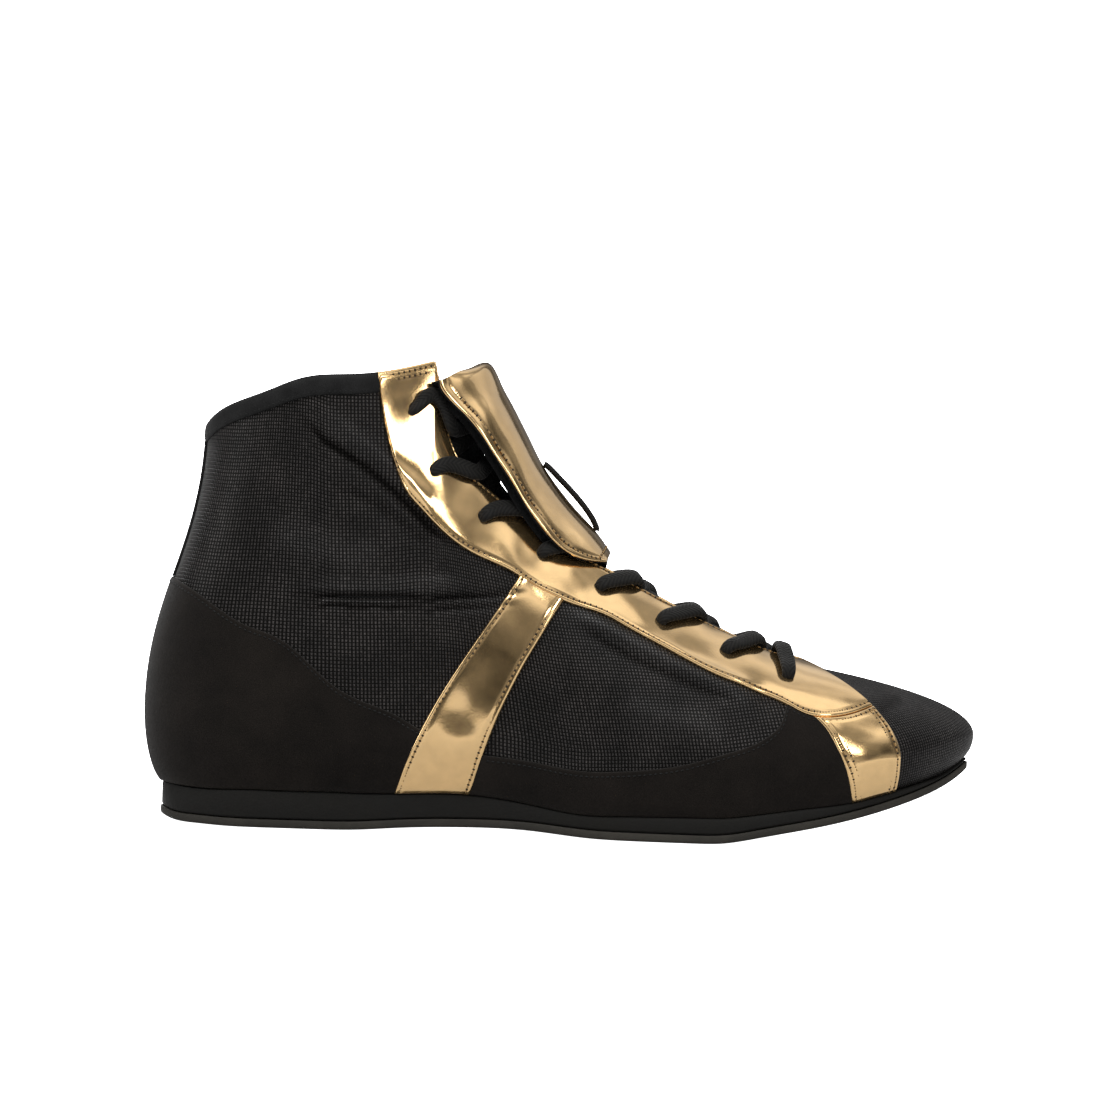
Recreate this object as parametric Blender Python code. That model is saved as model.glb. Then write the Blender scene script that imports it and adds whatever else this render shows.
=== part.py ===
"""A high-top wrestling shoe for the right foot, standing empty on its sole.

The toe points along +X, the outer (lateral) side faces -Y and +Z is up. The upper follows one function, the
last: rows of ribs go round the foot, each from the sole's edge over the widest line to the top line. The
overlays, the tongue and the laces are laid on that same function.
"""

import math

import bpy
import numpy as np

# Driving sizes in metres
LENGTH = 0.285
BALL_WIDTH = 0.095
COLLAR_HEIGHT = 0.160
TOE_SPRING = 0.030
SOLE_HEIGHT = 0.0128
OUTSOLE_THICKNESS = 0.0028
WELT = 0.0017
OUTSOLE_STEP = 0.0004
EDGE_BEVEL = 0.0008
INSOLE_THICKNESS = 0.003
WALL = 0.002
BINDING_HEIGHT = 0.007
BINDING_PROUD = 0.0004
OVERLAY = 0.0010
STRAP = 0.0013
BACKSTAY_WIDTH = 0.007
EYELET_DIAMETER = 0.0044
LACE_WIDTH = 0.006
LACE_THICKNESS = 0.0022
LACE_LIP_LIFT = 0.0013
TONGUE_THICKNESS = 0.005
TONGUE_TUCK = 0.012
TONGUE_TUCK_RADIUS = 0.023
FLAP_SKIN = 0.0010
FLAP_PAD = 0.0020
LOOP_WIDTH = 0.008
LOOP_THICKNESS = 0.0016
LOOP_BOW = 0.0015
FIT = 0.0003
LAY = 0.0005
SOLE_SEAT = 0.0004
TONGUE_EASE = 0.0010

# Ribs of the last from the back of the heel to the toe. Lengths along x are shares of LENGTH, heights of
# COLLAR_HEIGHT, half widths of BALL_WIDTH. Lean, rise, reach, draw and lift shape the curve above the girth.
RIB_COLUMNS = (
    "foot_x", "girth_x", "top_x", "girth_z", "top_z",
    "lateral_foot", "lateral_girth", "lateral_top", "medial_foot", "medial_girth", "medial_top",
    "lean", "rise", "reach", "draw", "lift",
)
RIBS = (
    (0.026, 0.005, 0.067, 0.250, 0.856, 0.000, 0.000, 0.000, 0.000, 0.000, 0.000, 0.00, 0.40, 1.00, 1.00, 0.55),
    (0.046, 0.034, 0.088, 0.250, 0.888, 0.190, 0.242, 0.190, 0.190, 0.242, 0.190, 0.00, 0.40, 0.95, 0.92, 0.60),
    (0.112, 0.109, 0.137, 0.244, 0.925, 0.284, 0.347, 0.290, 0.280, 0.337, 0.285, 0.10, 0.36, 0.85, 0.90, 0.66),
    (0.218, 0.210, 0.198, 0.238, 0.962, 0.295, 0.368, 0.326, 0.274, 0.353, 0.320, 0.20, 0.35, 0.80, 0.85, 0.70),
    (0.298, 0.288, 0.267, 0.231, 0.972, 0.305, 0.374, 0.295, 0.253, 0.353, 0.290, 0.25, 0.35, 0.80, 0.80, 0.72),
    (0.361, 0.351, 0.335, 0.225, 1.000, 0.316, 0.384, 0.205, 0.247, 0.358, 0.205, 0.30, 0.35, 0.80, 0.78, 0.74),
    (0.414, 0.400, 0.353, 0.219, 0.844, 0.337, 0.400, 0.212, 0.253, 0.368, 0.212, 0.30, 0.37, 0.76, 0.72, 0.76),
    (0.484, 0.470, 0.400, 0.200, 0.734, 0.379, 0.430, 0.200, 0.284, 0.390, 0.200, 0.30, 0.40, 0.75, 0.64, 0.79),
    (0.561, 0.547, 0.480, 0.181, 0.634, 0.430, 0.474, 0.180, 0.347, 0.430, 0.180, 0.30, 0.42, 0.75, 0.58, 0.81),
    (0.642, 0.632, 0.575, 0.162, 0.540, 0.463, 0.495, 0.158, 0.410, 0.468, 0.158, 0.30, 0.45, 0.75, 0.54, 0.82),
    (0.723, 0.716, 0.667, 0.156, 0.459, 0.463, 0.490, 0.137, 0.437, 0.479, 0.137, 0.28, 0.47, 0.72, 0.52, 0.83),
    (0.796, 0.793, 0.737, 0.169, 0.406, 0.416, 0.442, 0.116, 0.432, 0.458, 0.120, 0.22, 0.48, 0.67, 0.50, 0.84),
    (0.860, 0.863, 0.772, 0.188, 0.388, 0.345, 0.385, 0.084, 0.398, 0.425, 0.095, 0.14, 0.47, 0.60, 0.48, 0.83),
    (0.919, 0.925, 0.789, 0.206, 0.380, 0.235, 0.275, 0.050, 0.325, 0.352, 0.065, 0.05, 0.43, 0.50, 0.45, 0.80),
    (0.963, 0.974, 0.798, 0.225, 0.375, 0.075, 0.105, 0.015, 0.230, 0.258, 0.040, 0.00, 0.40, 0.42, 0.42, 0.76),
    (0.984, 0.998, 0.802, 0.238, 0.374, -0.085, -0.085, -0.012, 0.085, 0.085, 0.012, 0.00, 0.38, 0.36, 0.40, 0.72),
)
GIRTH_SHARE = 0.28
FOOT_SPREAD = 0.50
FOOT_RISE = 0.15
GIRTH_DROP = 0.50

# The sole from heel to toe: place as a share of LENGTH, underside as a share of TOE_SPRING and full thickness
# as a share of SOLE_HEIGHT. Where the underside would pass below the floor it is ground flat.
SOLE_SECTIONS = (
    (0.000, 0.200, 0.82),
    (0.020, 0.125, 0.87),
    (0.037, 0.062, 0.95),
    (0.070, 0.022, 0.96),
    (0.120, -0.008, 1.00),
    (0.180, -0.012, 1.00),
    (0.240, -0.005, 1.00),
    (0.310, 0.050, 0.92),
    (0.390, 0.085, 0.88),
    (0.470, 0.075, 0.70),
    (0.530, 0.020, 0.61),
    (0.580, -0.008, 0.65),
    (0.640, -0.014, 0.68),
    (0.685, -0.005, 0.69),
    (0.740, 0.090, 0.63),
    (0.800, 0.205, 0.56),
    (0.850, 0.320, 0.47),
    (0.900, 0.470, 0.43),
    (0.940, 0.620, 0.36),
    (0.980, 0.850, 0.27),
    (1.000, 1.030, 0.28),
)

# Edges of the overlays as they lie on the side view: x as a share of LENGTH, z as a share of COLLAR_HEIGHT
COUNTER_EDGE = (
    (-0.02, 0.545), (0.026, 0.527), (0.072, 0.483), (0.121, 0.430), (0.168, 0.398), (0.200, 0.352),
    (0.229, 0.308), (0.264, 0.276), (0.301, 0.252), (0.335, 0.219), (0.400, 0.160),
)
MUDGUARD_EDGE = (
    (0.330, 0.185), (0.400, 0.172), (0.470, 0.160), (0.520, 0.146), (0.579, 0.148), (0.649, 0.166),
    (0.696, 0.191), (0.731, 0.213), (0.754, 0.240), (0.766, 0.280), (0.774, 0.350),
)
FACING_EDGE = (
    (0.268, 0.990), (0.274, 0.914), (0.285, 0.822), (0.301, 0.741), (0.324, 0.688), (0.349, 0.644),
    (0.392, 0.592), (0.440, 0.554), (0.467, 0.525), (0.506, 0.495), (0.547, 0.469), (0.580, 0.439),
    (0.626, 0.396), (0.660, 0.365), (0.691, 0.341), (0.733, 0.319), (0.764, 0.298), (0.789, 0.277),
    (0.815, 0.270), (0.866, 0.292), (0.900, 0.320),
)
# Edges that run down to the sole: z as a share of COLLAR_HEIGHT, x as a share of LENGTH
BAND_BACK_EDGE = (
    (0.050, 0.8465), (0.120, 0.8450), (0.182, 0.8350), (0.222, 0.8230), (0.258, 0.8080), (0.290, 0.7850),
)
STRAP_BACK_EDGE = ((0.05, 0.300), (0.12, 0.312), (0.22, 0.335), (0.34, 0.372), (0.46, 0.415), (0.62, 0.470))
STRAP_FRONT_EDGE = ((0.05, 0.392), (0.12, 0.402), (0.22, 0.420), (0.34, 0.449), (0.46, 0.486), (0.62, 0.540))
BAND_FRONT_ROW = 12.65

# Eyelets from the collar down, on the side view: x as a share of LENGTH, z as a share of COLLAR_HEIGHT
EYELETS = (
    (0.314, 0.898), (0.341, 0.768), (0.401, 0.672), (0.472, 0.598),
    (0.542, 0.528), (0.617, 0.461), (0.694, 0.401), (0.768, 0.351),
)

# The tongue along the throat: row of the last, slope of its crown in degrees where it nears the eyestays
TONGUE_ROWS = (
    (5.02, 50), (5.4, 50), (5.8, 48), (6.2, 45), (6.7, 38), (7.2, 28), (7.8, 18), (8.5, 12),
    (9.2, 10), (10.0, 10), (10.8, 10), (11.6, 10), (12.5, 10), (13.2, 8),
)
TONGUE_END_ROWS = ((0.010, 0.0012), (0.018, 0.0024))

# The folded end of the tongue from its fold to its tip: crest and side edge as x (share of LENGTH) and z
# (share of COLLAR_HEIGHT), and half width (share of BALL_WIDTH)
FLAP_ROWS = (
    (0.386, 0.996, 0.345, 0.959, 0.304),
    (0.404, 0.996, 0.350, 0.934, 0.308),
    (0.418, 0.950, 0.370, 0.900, 0.310),
    (0.437, 0.895, 0.393, 0.856, 0.308),
    (0.468, 0.792, 0.439, 0.771, 0.308),
    (0.499, 0.716, 0.468, 0.702, 0.302),
    (0.531, 0.668, 0.507, 0.649, 0.278),
    (0.555, 0.622, 0.540, 0.617, 0.200),
)
FLAP_WRAP = math.radians(65)
PAD_SHARE = 0.90
LOOP_FROM, LOOP_TO = 3.95, 6.15

# How finely the faceted solids follow the last
RING_ROWS = (
    0, 1 / 3, 2 / 3, 1, 4 / 3, 5 / 3, 2, 2.5, 3, 3.5, 4, 4.06, 4.5, 5, 5.5, 6, 6.5, 7, 7.5, 8, 8.5, 9,
    9.5, 10, 10.5, 11, 11.5, 12, 12 + 1 / 3, 12 + 2 / 3, 13, 13 + 1 / 3, 13 + 2 / 3, 14, 14 + 1 / 3, 14 + 2 / 3, 15,
)
FOOT_STEPS = 3
LEG_STEPS = 7

MATERIALS = {
    "mesh": ((0.030, 0.029, 0.033), 0.85),
    "suede": ((0.028, 0.024, 0.020), 0.95),
    "binding": ((0.020, 0.020, 0.020), 0.55),
    "gold": ((0.55, 0.38, 0.15), 0.18),
    "sole": ((0.022, 0.021, 0.018), 0.60),
    "outsole": ((0.050, 0.046, 0.040), 0.60),
    "lining": ((0.018, 0.018, 0.019), 0.90),
    "lace": ((0.016, 0.016, 0.014), 0.80),
}


def smooth_curve(knots, values):
    """A function that runs smoothly through the values at rising knots."""
    knots = np.asarray(knots, float)
    values = np.asarray(values, float)
    steps = np.diff(knots)
    slopes = np.diff(values) / steps
    last = len(knots) - 1
    system = np.eye(last + 1)
    right = np.zeros(last + 1)
    for i in range(1, last):
        system[i, i - 1 : i + 2] = steps[i - 1], 2 * (steps[i - 1] + steps[i]), steps[i]
        right[i] = 6 * (slopes[i] - slopes[i - 1])
    bends = np.linalg.solve(system, right)

    def curve(at):
        at = np.clip(np.asarray(at, float), knots[0], knots[-1])
        i = np.clip(np.searchsorted(knots, at) - 1, 0, last - 1)
        a = (knots[i + 1] - at) / steps[i]
        b = 1 - a
        bend = (a**3 - a) * bends[i] + (b**3 - b) * bends[i + 1]
        return a * values[i] + b * values[i + 1] + bend * steps[i] ** 2 / 6

    return curve


def side_curve(table, along, across):
    """A smooth curve through a table of shares, scaled to real lengths."""
    places = [row[0] * along for row in table]
    values = [row[1] * across for row in table]
    return smooth_curve(places, values)


RIB = {name: np.array([row[i] for row in RIBS]) for i, name in enumerate(RIB_COLUMNS)}
LAST_ROW = len(RIBS) - 1
ROUND = 2 * LAST_ROW
WRAP = 6
CORNER_ROW = 5
COLLAR_END_ROW = 4
THROAT_ROWS = np.linspace(CORNER_ROW, LAST_ROW - 1, 400)

UNDERSIDE = smooth_curve([s[0] * LENGTH for s in SOLE_SECTIONS], [s[1] * TOE_SPRING for s in SOLE_SECTIONS])
THICKNESS = smooth_curve([s[0] * LENGTH for s in SOLE_SECTIONS], [s[2] * SOLE_HEIGHT for s in SOLE_SECTIONS])


def underside(x):
    return np.maximum(UNDERSIDE(x), 0)


def feather(x):
    """Height of the line where the upper meets the sole."""
    return underside(x) + THICKNESS(x)


def ring_places():
    """Where each rib stands along the girth, the mean of the two sides, from heel to toe and back."""
    steps = np.zeros(LAST_ROW)
    for side in ("lateral_girth", "medial_girth"):
        places = np.stack([RIB["girth_x"] * LENGTH, RIB[side] * BALL_WIDTH], axis=1)
        steps += np.linalg.norm(np.diff(places, axis=0), axis=1) / 2
    half = np.concatenate([[0], np.cumsum(steps)])
    return np.concatenate([half, 2 * half[-1] - half[-2:0:-1]]), 2 * half[-1]


def ring_values(lateral, medial):
    return np.concatenate([lateral, medial[-2:0:-1]])


PLACES, ROUND_LENGTH = ring_places()
TURNS = np.arange(-WRAP, ROUND + WRAP + 1)
TURN_PLACES = np.array([PLACES[k % ROUND] + (k // ROUND) * ROUND_LENGTH for k in TURNS])


def ring_curve(values):
    """A smooth closed curve through one value for each rib."""
    return smooth_curve(TURN_PLACES, [values[k % ROUND] for k in TURNS])


def top_curve(values):
    """The same with a sharp corner at the top of each eyestay."""
    back = range(-CORNER_ROW, CORNER_ROW + 1)
    front = range(CORNER_ROW, ROUND - CORNER_ROW + 1)
    back_curve = smooth_curve([TURN_PLACES[k + WRAP] for k in back], [values[k % ROUND] for k in back])
    front_curve = smooth_curve([TURN_PLACES[k + WRAP] for k in front], [values[k] for k in front])
    corner = TURN_PLACES[CORNER_ROW + WRAP]

    def curve(place):
        place = (np.asarray(place) + corner) % ROUND_LENGTH - corner
        return np.where(place <= corner, back_curve(place), front_curve(place))

    return curve


def rib_curves():
    curves = {}
    for name in ("foot_x", "girth_x", "girth_z", "lean", "rise", "reach", "draw", "lift"):
        curves[name] = ring_curve(ring_values(RIB[name], RIB[name]))
    for name in ("top_x", "top_z"):
        curves[name] = top_curve(ring_values(RIB[name], RIB[name]))
    for part, make in (("foot", ring_curve), ("girth", ring_curve), ("top", top_curve)):
        values = ring_values(-RIB["lateral_" + part], RIB["medial_" + part])
        curves[part + "_y"] = make(values)
    return curves


CURVES = rib_curves()


def turn(side, row):
    """Place on the ring of a row of one side: lateral rows count up from the heel, medial rows come back."""
    return np.asarray(row, float) if side == "lateral" else ROUND - np.asarray(row, float)


def bezier(start, first, second, end, t):
    t = t[..., None]
    s = 1 - t
    return s**3 * start + 3 * s**2 * t * first + 3 * s * t**2 * second + t**3 * end


def last(q, v):
    """Point of the last at ring place q, from the sole's edge at v = 0 to the top line at v = 1."""
    q, v = np.broadcast_arrays(np.asarray(q, float) % ROUND, np.asarray(v, float))
    place = np.interp(q, TURNS, TURN_PLACES)
    at = {name: curve(place) for name, curve in CURVES.items()}
    foot_x = at["foot_x"] * LENGTH
    foot = np.stack([foot_x, at["foot_y"] * BALL_WIDTH, feather(foot_x)], axis=-1)
    girth = np.stack(
        [at["girth_x"] * LENGTH, at["girth_y"] * BALL_WIDTH, at["girth_z"] * COLLAR_HEIGHT], axis=-1
    )
    top = np.stack([at["top_x"] * LENGTH, at["top_y"] * BALL_WIDTH, at["top_z"] * COLLAR_HEIGHT], axis=-1)
    out = girth - foot
    out_foot = np.stack([out[..., 0] * FOOT_SPREAD, out[..., 1] * FOOT_SPREAD, out[..., 2] * FOOT_RISE], axis=-1)
    drop = out * np.array([0, 0, GIRTH_DROP])
    low = bezier(foot, foot + out_foot, girth - drop, girth, np.clip(v / GIRTH_SHARE, 0, 1))
    up = top - girth
    zero = np.zeros_like(at["lean"])
    first = girth + up * np.stack([at["lean"], zero, at["rise"]], axis=-1)
    second = girth + up * np.stack([at["reach"], at["draw"], at["lift"]], axis=-1)
    high = bezier(girth, first, second, top, np.clip((v - GIRTH_SHARE) / (1 - GIRTH_SHARE), 0, 1))
    return np.where((v < GIRTH_SHARE)[..., None], low, high)


def unit(vectors):
    return vectors / np.linalg.norm(vectors, axis=-1, keepdims=True)


def outward(q, v):
    """Direction away from the foot, level along the sole's edge so that overlays stand on it."""
    q, v = np.broadcast_arrays(np.asarray(q, float), np.asarray(v, float))
    low, high = np.clip(v - 0.01, 0, 1), np.clip(v + 0.01, 0, 1)
    normal = unit(np.cross(last(q + 0.05, v) - last(q - 0.05, v), last(q, high) - last(q, low)))
    flat = np.clip(v / 0.12, 0, 1)
    normal[..., 2] *= flat * flat * (3 - 2 * flat)
    return unit(normal)


def skin(q, v, depth):
    """The last's surface moved outwards by depth."""
    return last(q, v) + outward(q, v) * np.asarray(depth, float)[..., None]


def rib_samples(q):
    v = np.linspace(0, 1, 121)
    q = np.asarray(q, float)[..., None]
    return v, last(q, v)


def crossing(levels, values, last_one):
    """The level at which values change sign along their last axis, by straight steps, and whether they do."""
    change = np.diff(np.sign(values), axis=-1) != 0
    i = np.argmax(change, axis=-1)
    if last_one:
        i = change.shape[-1] - 1 - np.argmax(change[..., ::-1], axis=-1)
    found = change.any(axis=-1)
    before = np.take_along_axis(values, i[..., None], -1)[..., 0]
    after = np.take_along_axis(values, i[..., None] + 1, -1)[..., 0]
    share = before / np.where(found, before - after, 1)
    return levels[i] + (levels[i + 1] - levels[i]) * share, found


def below_top(q, distance):
    """Height on a rib at a distance below the top line."""
    v, points = rib_samples(q)
    steps = np.linalg.norm(np.diff(points, axis=-2), axis=-1)
    left = steps.sum(axis=-1, keepdims=True) - np.cumsum(steps, axis=-1)
    left = np.concatenate([steps.sum(axis=-1, keepdims=True), left], axis=-1)
    level, found = crossing(v, left - distance, True)
    return np.where(found, level, 1.0)


def under_edge(edge):
    """For an edge given as height over x: the v at which a rib crosses it, highest crossing first."""

    def height(q):
        v, points = rib_samples(q)
        above = points[..., 2] - edge(points[..., 0])
        level, found = crossing(v, above, True)
        return np.where(found, level, np.where(above[..., -1] < 0, 1.0, 0.0))

    return height


def along_edge(edge, side, lowest, highest):
    """For an edge given as x over height: the row at which it is met at each v."""
    rows = np.linspace(lowest, highest, 81)

    def row(v):
        v = np.asarray(v, float)[..., None]
        points = last(turn(side, rows), v)
        ahead = points[..., 0] - edge(points[..., 2])
        met, found = crossing(rows, ahead, False)
        return np.where(found, met, np.where(ahead[..., 0] > 0, lowest, highest))

    return row


def material(name):
    found = bpy.data.materials.get(name)
    if found:
        return found
    color, roughness = MATERIALS[name]
    made = bpy.data.materials.new(name)
    made.use_nodes = True
    shader = made.node_tree.nodes["Principled BSDF"]
    shader.inputs["Base Color"].default_value = (*color, 1)
    shader.inputs["Roughness"].default_value = roughness
    made.diffuse_color = (*color, 1)
    return made


def add_object(name, points, faces, surface, parent):
    mesh = bpy.data.meshes.new(name)
    mesh.from_pydata([tuple(point) for point in points], [], faces)
    mesh.materials.append(material(surface))
    mesh.shade_smooth()
    mesh.set_sharp_from_angle(angle=math.radians(40))
    obj = bpy.data.objects.new(name, mesh)
    obj.parent = parent
    bpy.context.scene.collection.objects.link(obj)
    return obj


def grid_faces(columns, rows, start, closed, flip):
    faces = []
    for i in range(columns if closed else columns - 1):
        j = (i + 1) % columns
        for k in range(rows - 1):
            face = [start + i * rows + k, start + j * rows + k, start + j * rows + k + 1, start + i * rows + k + 1]
            faces.append(face[::-1] if flip else face)
    return faces


def wall(outer, inner, closed=False):
    """Points and faces of a closed shell between two grids, whose columns run along the ring and rows go up."""
    columns, rows = outer.shape[:2]
    count = columns * rows
    faces = grid_faces(columns, rows, 0, closed, False) + grid_faces(columns, rows, count, closed, True)
    edges = []
    for i in range(columns if closed else columns - 1):
        j = (i + 1) % columns
        edges.append((i * rows, j * rows))
        edges.append((j * rows + rows - 1, i * rows + rows - 1))
    if not closed:
        last_column = (columns - 1) * rows
        for k in range(rows - 1):
            edges.append((last_column + k, last_column + k + 1))
            edges.append((k + 1, k))
    faces += [(b, a, a + count, b + count) for a, b in edges]
    return np.concatenate([outer.reshape(-1, 3), inner.reshape(-1, 3)]), faces


def tube(rings):
    """Points and faces of a solid through a row of closed rings with flat ends. Each ring runs the same way."""
    count, corners = rings.shape[:2]
    faces = []
    for i in range(count - 1):
        for k in range(corners):
            j = (k + 1) % corners
            faces.append((i * corners + k, i * corners + j, (i + 1) * corners + j, (i + 1) * corners + k))
    faces.append(tuple(range(corners))[::-1])
    faces.append(tuple((count - 1) * corners + k for k in range(corners)))
    return rings.reshape(-1, 3), faces


def ring_turns():
    rows = np.array(RING_ROWS, float)
    return np.concatenate([rows, ROUND - rows[-2:0:-1]])


def foot_outline(q, offset):
    """The sole's edge in plan, moved outwards."""
    here = last(q, np.zeros(np.shape(q)))
    ahead = last(q + 0.05, np.zeros(np.shape(q))) - last(q - 0.05, np.zeros(np.shape(q)))
    normal = unit(np.stack([ahead[:, 1], -ahead[:, 0]], axis=-1))
    return here[:, :2] + normal * offset


def sole_layer(name, rings, surface, parent):
    """A layer of the sole from rings given as (offset, height function of the edge's x), from below up."""
    q = ring_turns()
    count = len(q)
    edge_x = foot_outline(q, 0.0)[:, 0]
    points = [np.column_stack([foot_outline(q, offset), height(edge_x)]) for offset, height in rings]
    faces = []
    for r in range(len(rings) - 1):
        for i in range(count):
            j = (i + 1) % count
            faces.append((r * count + i, r * count + j, (r + 1) * count + j, (r + 1) * count + i))
    top = (len(rings) - 1) * count
    half = count // 2
    for start, flip in ((0, True), (top, False)):
        for i in range(half):
            a, b = i, i + 1
            c, d = (count - b) % count, (count - a) % count
            corners = [a, b] + ([c] if c != b else []) + ([d] if d != a else [])
            face = [start + corner for corner in corners]
            faces.append(face[::-1] if flip else face)
    add_object(name, np.concatenate(points), faces, surface, parent)


def add_sole(parent):
    def split(x):
        return underside(x) + OUTSOLE_THICKNESS

    welt = WELT + OUTSOLE_STEP
    sole_layer(
        "outsole",
        (
            (welt - 2 * EDGE_BEVEL, underside),
            (welt - EDGE_BEVEL / 2, lambda x: underside(x) + EDGE_BEVEL),
            (welt, lambda x: split(x) - EDGE_BEVEL / 2),
            (welt - EDGE_BEVEL / 2, split),
        ),
        "outsole",
        parent,
    )
    sole_layer(
        "midsole",
        (
            (WELT - EDGE_BEVEL / 2, lambda x: split(x) + FIT),
            (WELT, lambda x: split(x) + FIT + EDGE_BEVEL / 2),
            (WELT, lambda x: np.maximum(feather(x) - SOLE_SEAT - EDGE_BEVEL, split(x) + FIT + EDGE_BEVEL)),
            (WELT - EDGE_BEVEL / 2, lambda x: np.maximum(feather(x) - SOLE_SEAT, split(x) + FIT + 1.5 * EDGE_BEVEL)),
        ),
        "sole",
        parent,
    )
    inset = -(WALL + 2 * FIT)
    sole_layer(
        "insole",
        (
            (inset, lambda x: feather(x)),
            (inset, lambda x: feather(x) + INSOLE_THICKNESS - EDGE_BEVEL),
            (inset - EDGE_BEVEL, lambda x: feather(x) + INSOLE_THICKNESS),
        ),
        "lining",
        parent,
    )


def collar_drop(q):
    """How far below the top line the upper's rim lies: under the binding round the collar, else at the line."""
    row = q if q <= LAST_ROW else ROUND - q
    return BINDING_HEIGHT + FIT if row <= COLLAR_END_ROW else 0.0


def add_upper(parent):
    q = ring_turns()
    foot = np.linspace(0, GIRTH_SHARE, FOOT_STEPS + 1)
    leg = np.linspace(GIRTH_SHARE, 1, LEG_STEPS + 1)[1:]
    v = np.empty((len(q), len(foot) + len(leg)))
    for i, place in enumerate(q):
        rim = below_top(place, collar_drop(place)) if collar_drop(place) else 1.0
        v[i] = np.concatenate([foot, GIRTH_SHARE + (leg - GIRTH_SHARE) * (rim - GIRTH_SHARE) / (1 - GIRTH_SHARE)])
    places = np.repeat(q[:, None], v.shape[1], axis=1)
    points, faces = wall(skin(places, v, 0.0), skin(places, v, -WALL), closed=True)
    return add_object("upper", points, faces, "mesh", parent)


def add_binding(parent):
    """The padded edging: a six-sided band on the upper's rim, from one eyestay round the heel to the other."""
    end = COLLAR_END_ROW - 0.04
    rows = np.linspace(-end, end, 37)
    low = np.array([below_top(q, BINDING_HEIGHT) for q in rows])
    shoulder = np.array([below_top(q, BINDING_HEIGHT * 0.2) for q in rows])
    outer = np.stack(
        [
            skin(rows, low, BINDING_PROUD),
            skin(rows, shoulder, BINDING_PROUD),
            skin(rows, np.ones_like(rows), -WALL / 4),
        ],
        axis=1,
    )
    inner = np.stack(
        [
            skin(rows, low, -WALL - BINDING_PROUD),
            skin(rows, shoulder, -WALL - BINDING_PROUD),
            skin(rows, np.ones_like(rows), -WALL * 3 / 4),
        ],
        axis=1,
    )
    points, faces = wall(outer, inner)
    add_object("collar_binding", points, faces, "binding", parent)


def panel(name, side, lowest_row, highest_row, low, high, columns, rows, thickness, surface, parent):
    """An overlay between two rows given as functions of v, and two heights given as functions of the row."""
    a, b = np.meshgrid(np.linspace(0, 1, columns), np.linspace(0, 1, rows), indexing="ij")
    v = np.full(a.shape, 0.3)
    for _ in range(8):
        q = turn(side, (1 - a) * lowest_row(v) + a * highest_row(v))
        v = (1 - b) * low(q) + b * high(q)
    if side == "medial":
        q, v = q[::-1], v[::-1]
    points, faces = wall(skin(q, v, LAY + thickness), skin(q, v, LAY))
    return add_object(name, points, faces, surface, parent)


def steady(value):
    return lambda at: np.full(np.shape(at), value)


def edge_gap(q, v, gap):
    """The v that lies a gap below v on a rib."""
    ahead = last(q, v) - last(q, np.clip(v - 0.02, 0, 1))
    return v - gap * 0.02 / np.maximum(np.linalg.norm(ahead, axis=-1), 1e-6)


COUNTER_TOP = under_edge(side_curve(COUNTER_EDGE, LENGTH, COLLAR_HEIGHT))
MUDGUARD_TOP = under_edge(side_curve(MUDGUARD_EDGE, LENGTH, COLLAR_HEIGHT))
FACING_FOOT = under_edge(side_curve(FACING_EDGE, LENGTH, COLLAR_HEIGHT))
STRAP_BACK = side_curve(STRAP_BACK_EDGE, COLLAR_HEIGHT, LENGTH)
STRAP_FRONT = side_curve(STRAP_FRONT_EDGE, COLLAR_HEIGHT, LENGTH)
BAND_BACK = side_curve(BAND_BACK_EDGE, COLLAR_HEIGHT, LENGTH)


def moved(row, shift):
    return lambda at: row(at) + shift


def add_overlays(parent):
    shift = 0.02
    strap_back = {side: along_edge(STRAP_BACK, side, 3.5, 9.0) for side in ("lateral", "medial")}
    strap_front = {side: along_edge(STRAP_FRONT, side, 4.5, 10.0) for side in ("lateral", "medial")}
    band_back = {side: along_edge(BAND_BACK, side, 10.0, 12.5) for side in ("lateral", "medial")}
    panel(
        "heel_counter",
        "lateral",
        lambda v: -strap_back["medial"](v) + shift,
        moved(strap_back["lateral"], -shift),
        steady(0.0),
        COUNTER_TOP,
        35,
        9,
        OVERLAY,
        "suede",
        parent,
    )
    half = BACKSTAY_WIDTH / 2 / (TURN_PLACES[WRAP + 1] - TURN_PLACES[WRAP])
    panel(
        "backstay",
        "lateral",
        steady(-half),
        steady(half),
        lambda q: edge_gap(q, COUNTER_TOP(q), -2 * FIT),
        lambda q: below_top(q, BINDING_HEIGHT + 2 * FIT),
        3,
        9,
        OVERLAY,
        "binding",
        parent,
    )
    for side in ("lateral", "medial"):
        panel(
            "saddle_strap_" + side,
            side,
            strap_back[side],
            strap_front[side],
            steady(0.0),
            lambda q: edge_gap(q, FACING_FOOT(q), 2 * FIT),
            4,
            12,
            STRAP,
            "gold",
            parent,
        )
        panel(
            "mudguard_" + side,
            side,
            moved(strap_front[side], shift),
            moved(band_back[side], -shift),
            steady(0.0),
            lambda q: np.minimum(MUDGUARD_TOP(q), edge_gap(q, FACING_FOOT(q), 2 * FIT)),
            18,
            8,
            OVERLAY,
            "suede",
            parent,
        )
        panel(
            "band_" + side,
            side,
            band_back[side],
            steady(BAND_FRONT_ROW),
            steady(0.0),
            lambda q: edge_gap(q, FACING_FOOT(q), 2 * FIT),
            5,
            8,
            STRAP,
            "gold",
            parent,
        )


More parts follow.
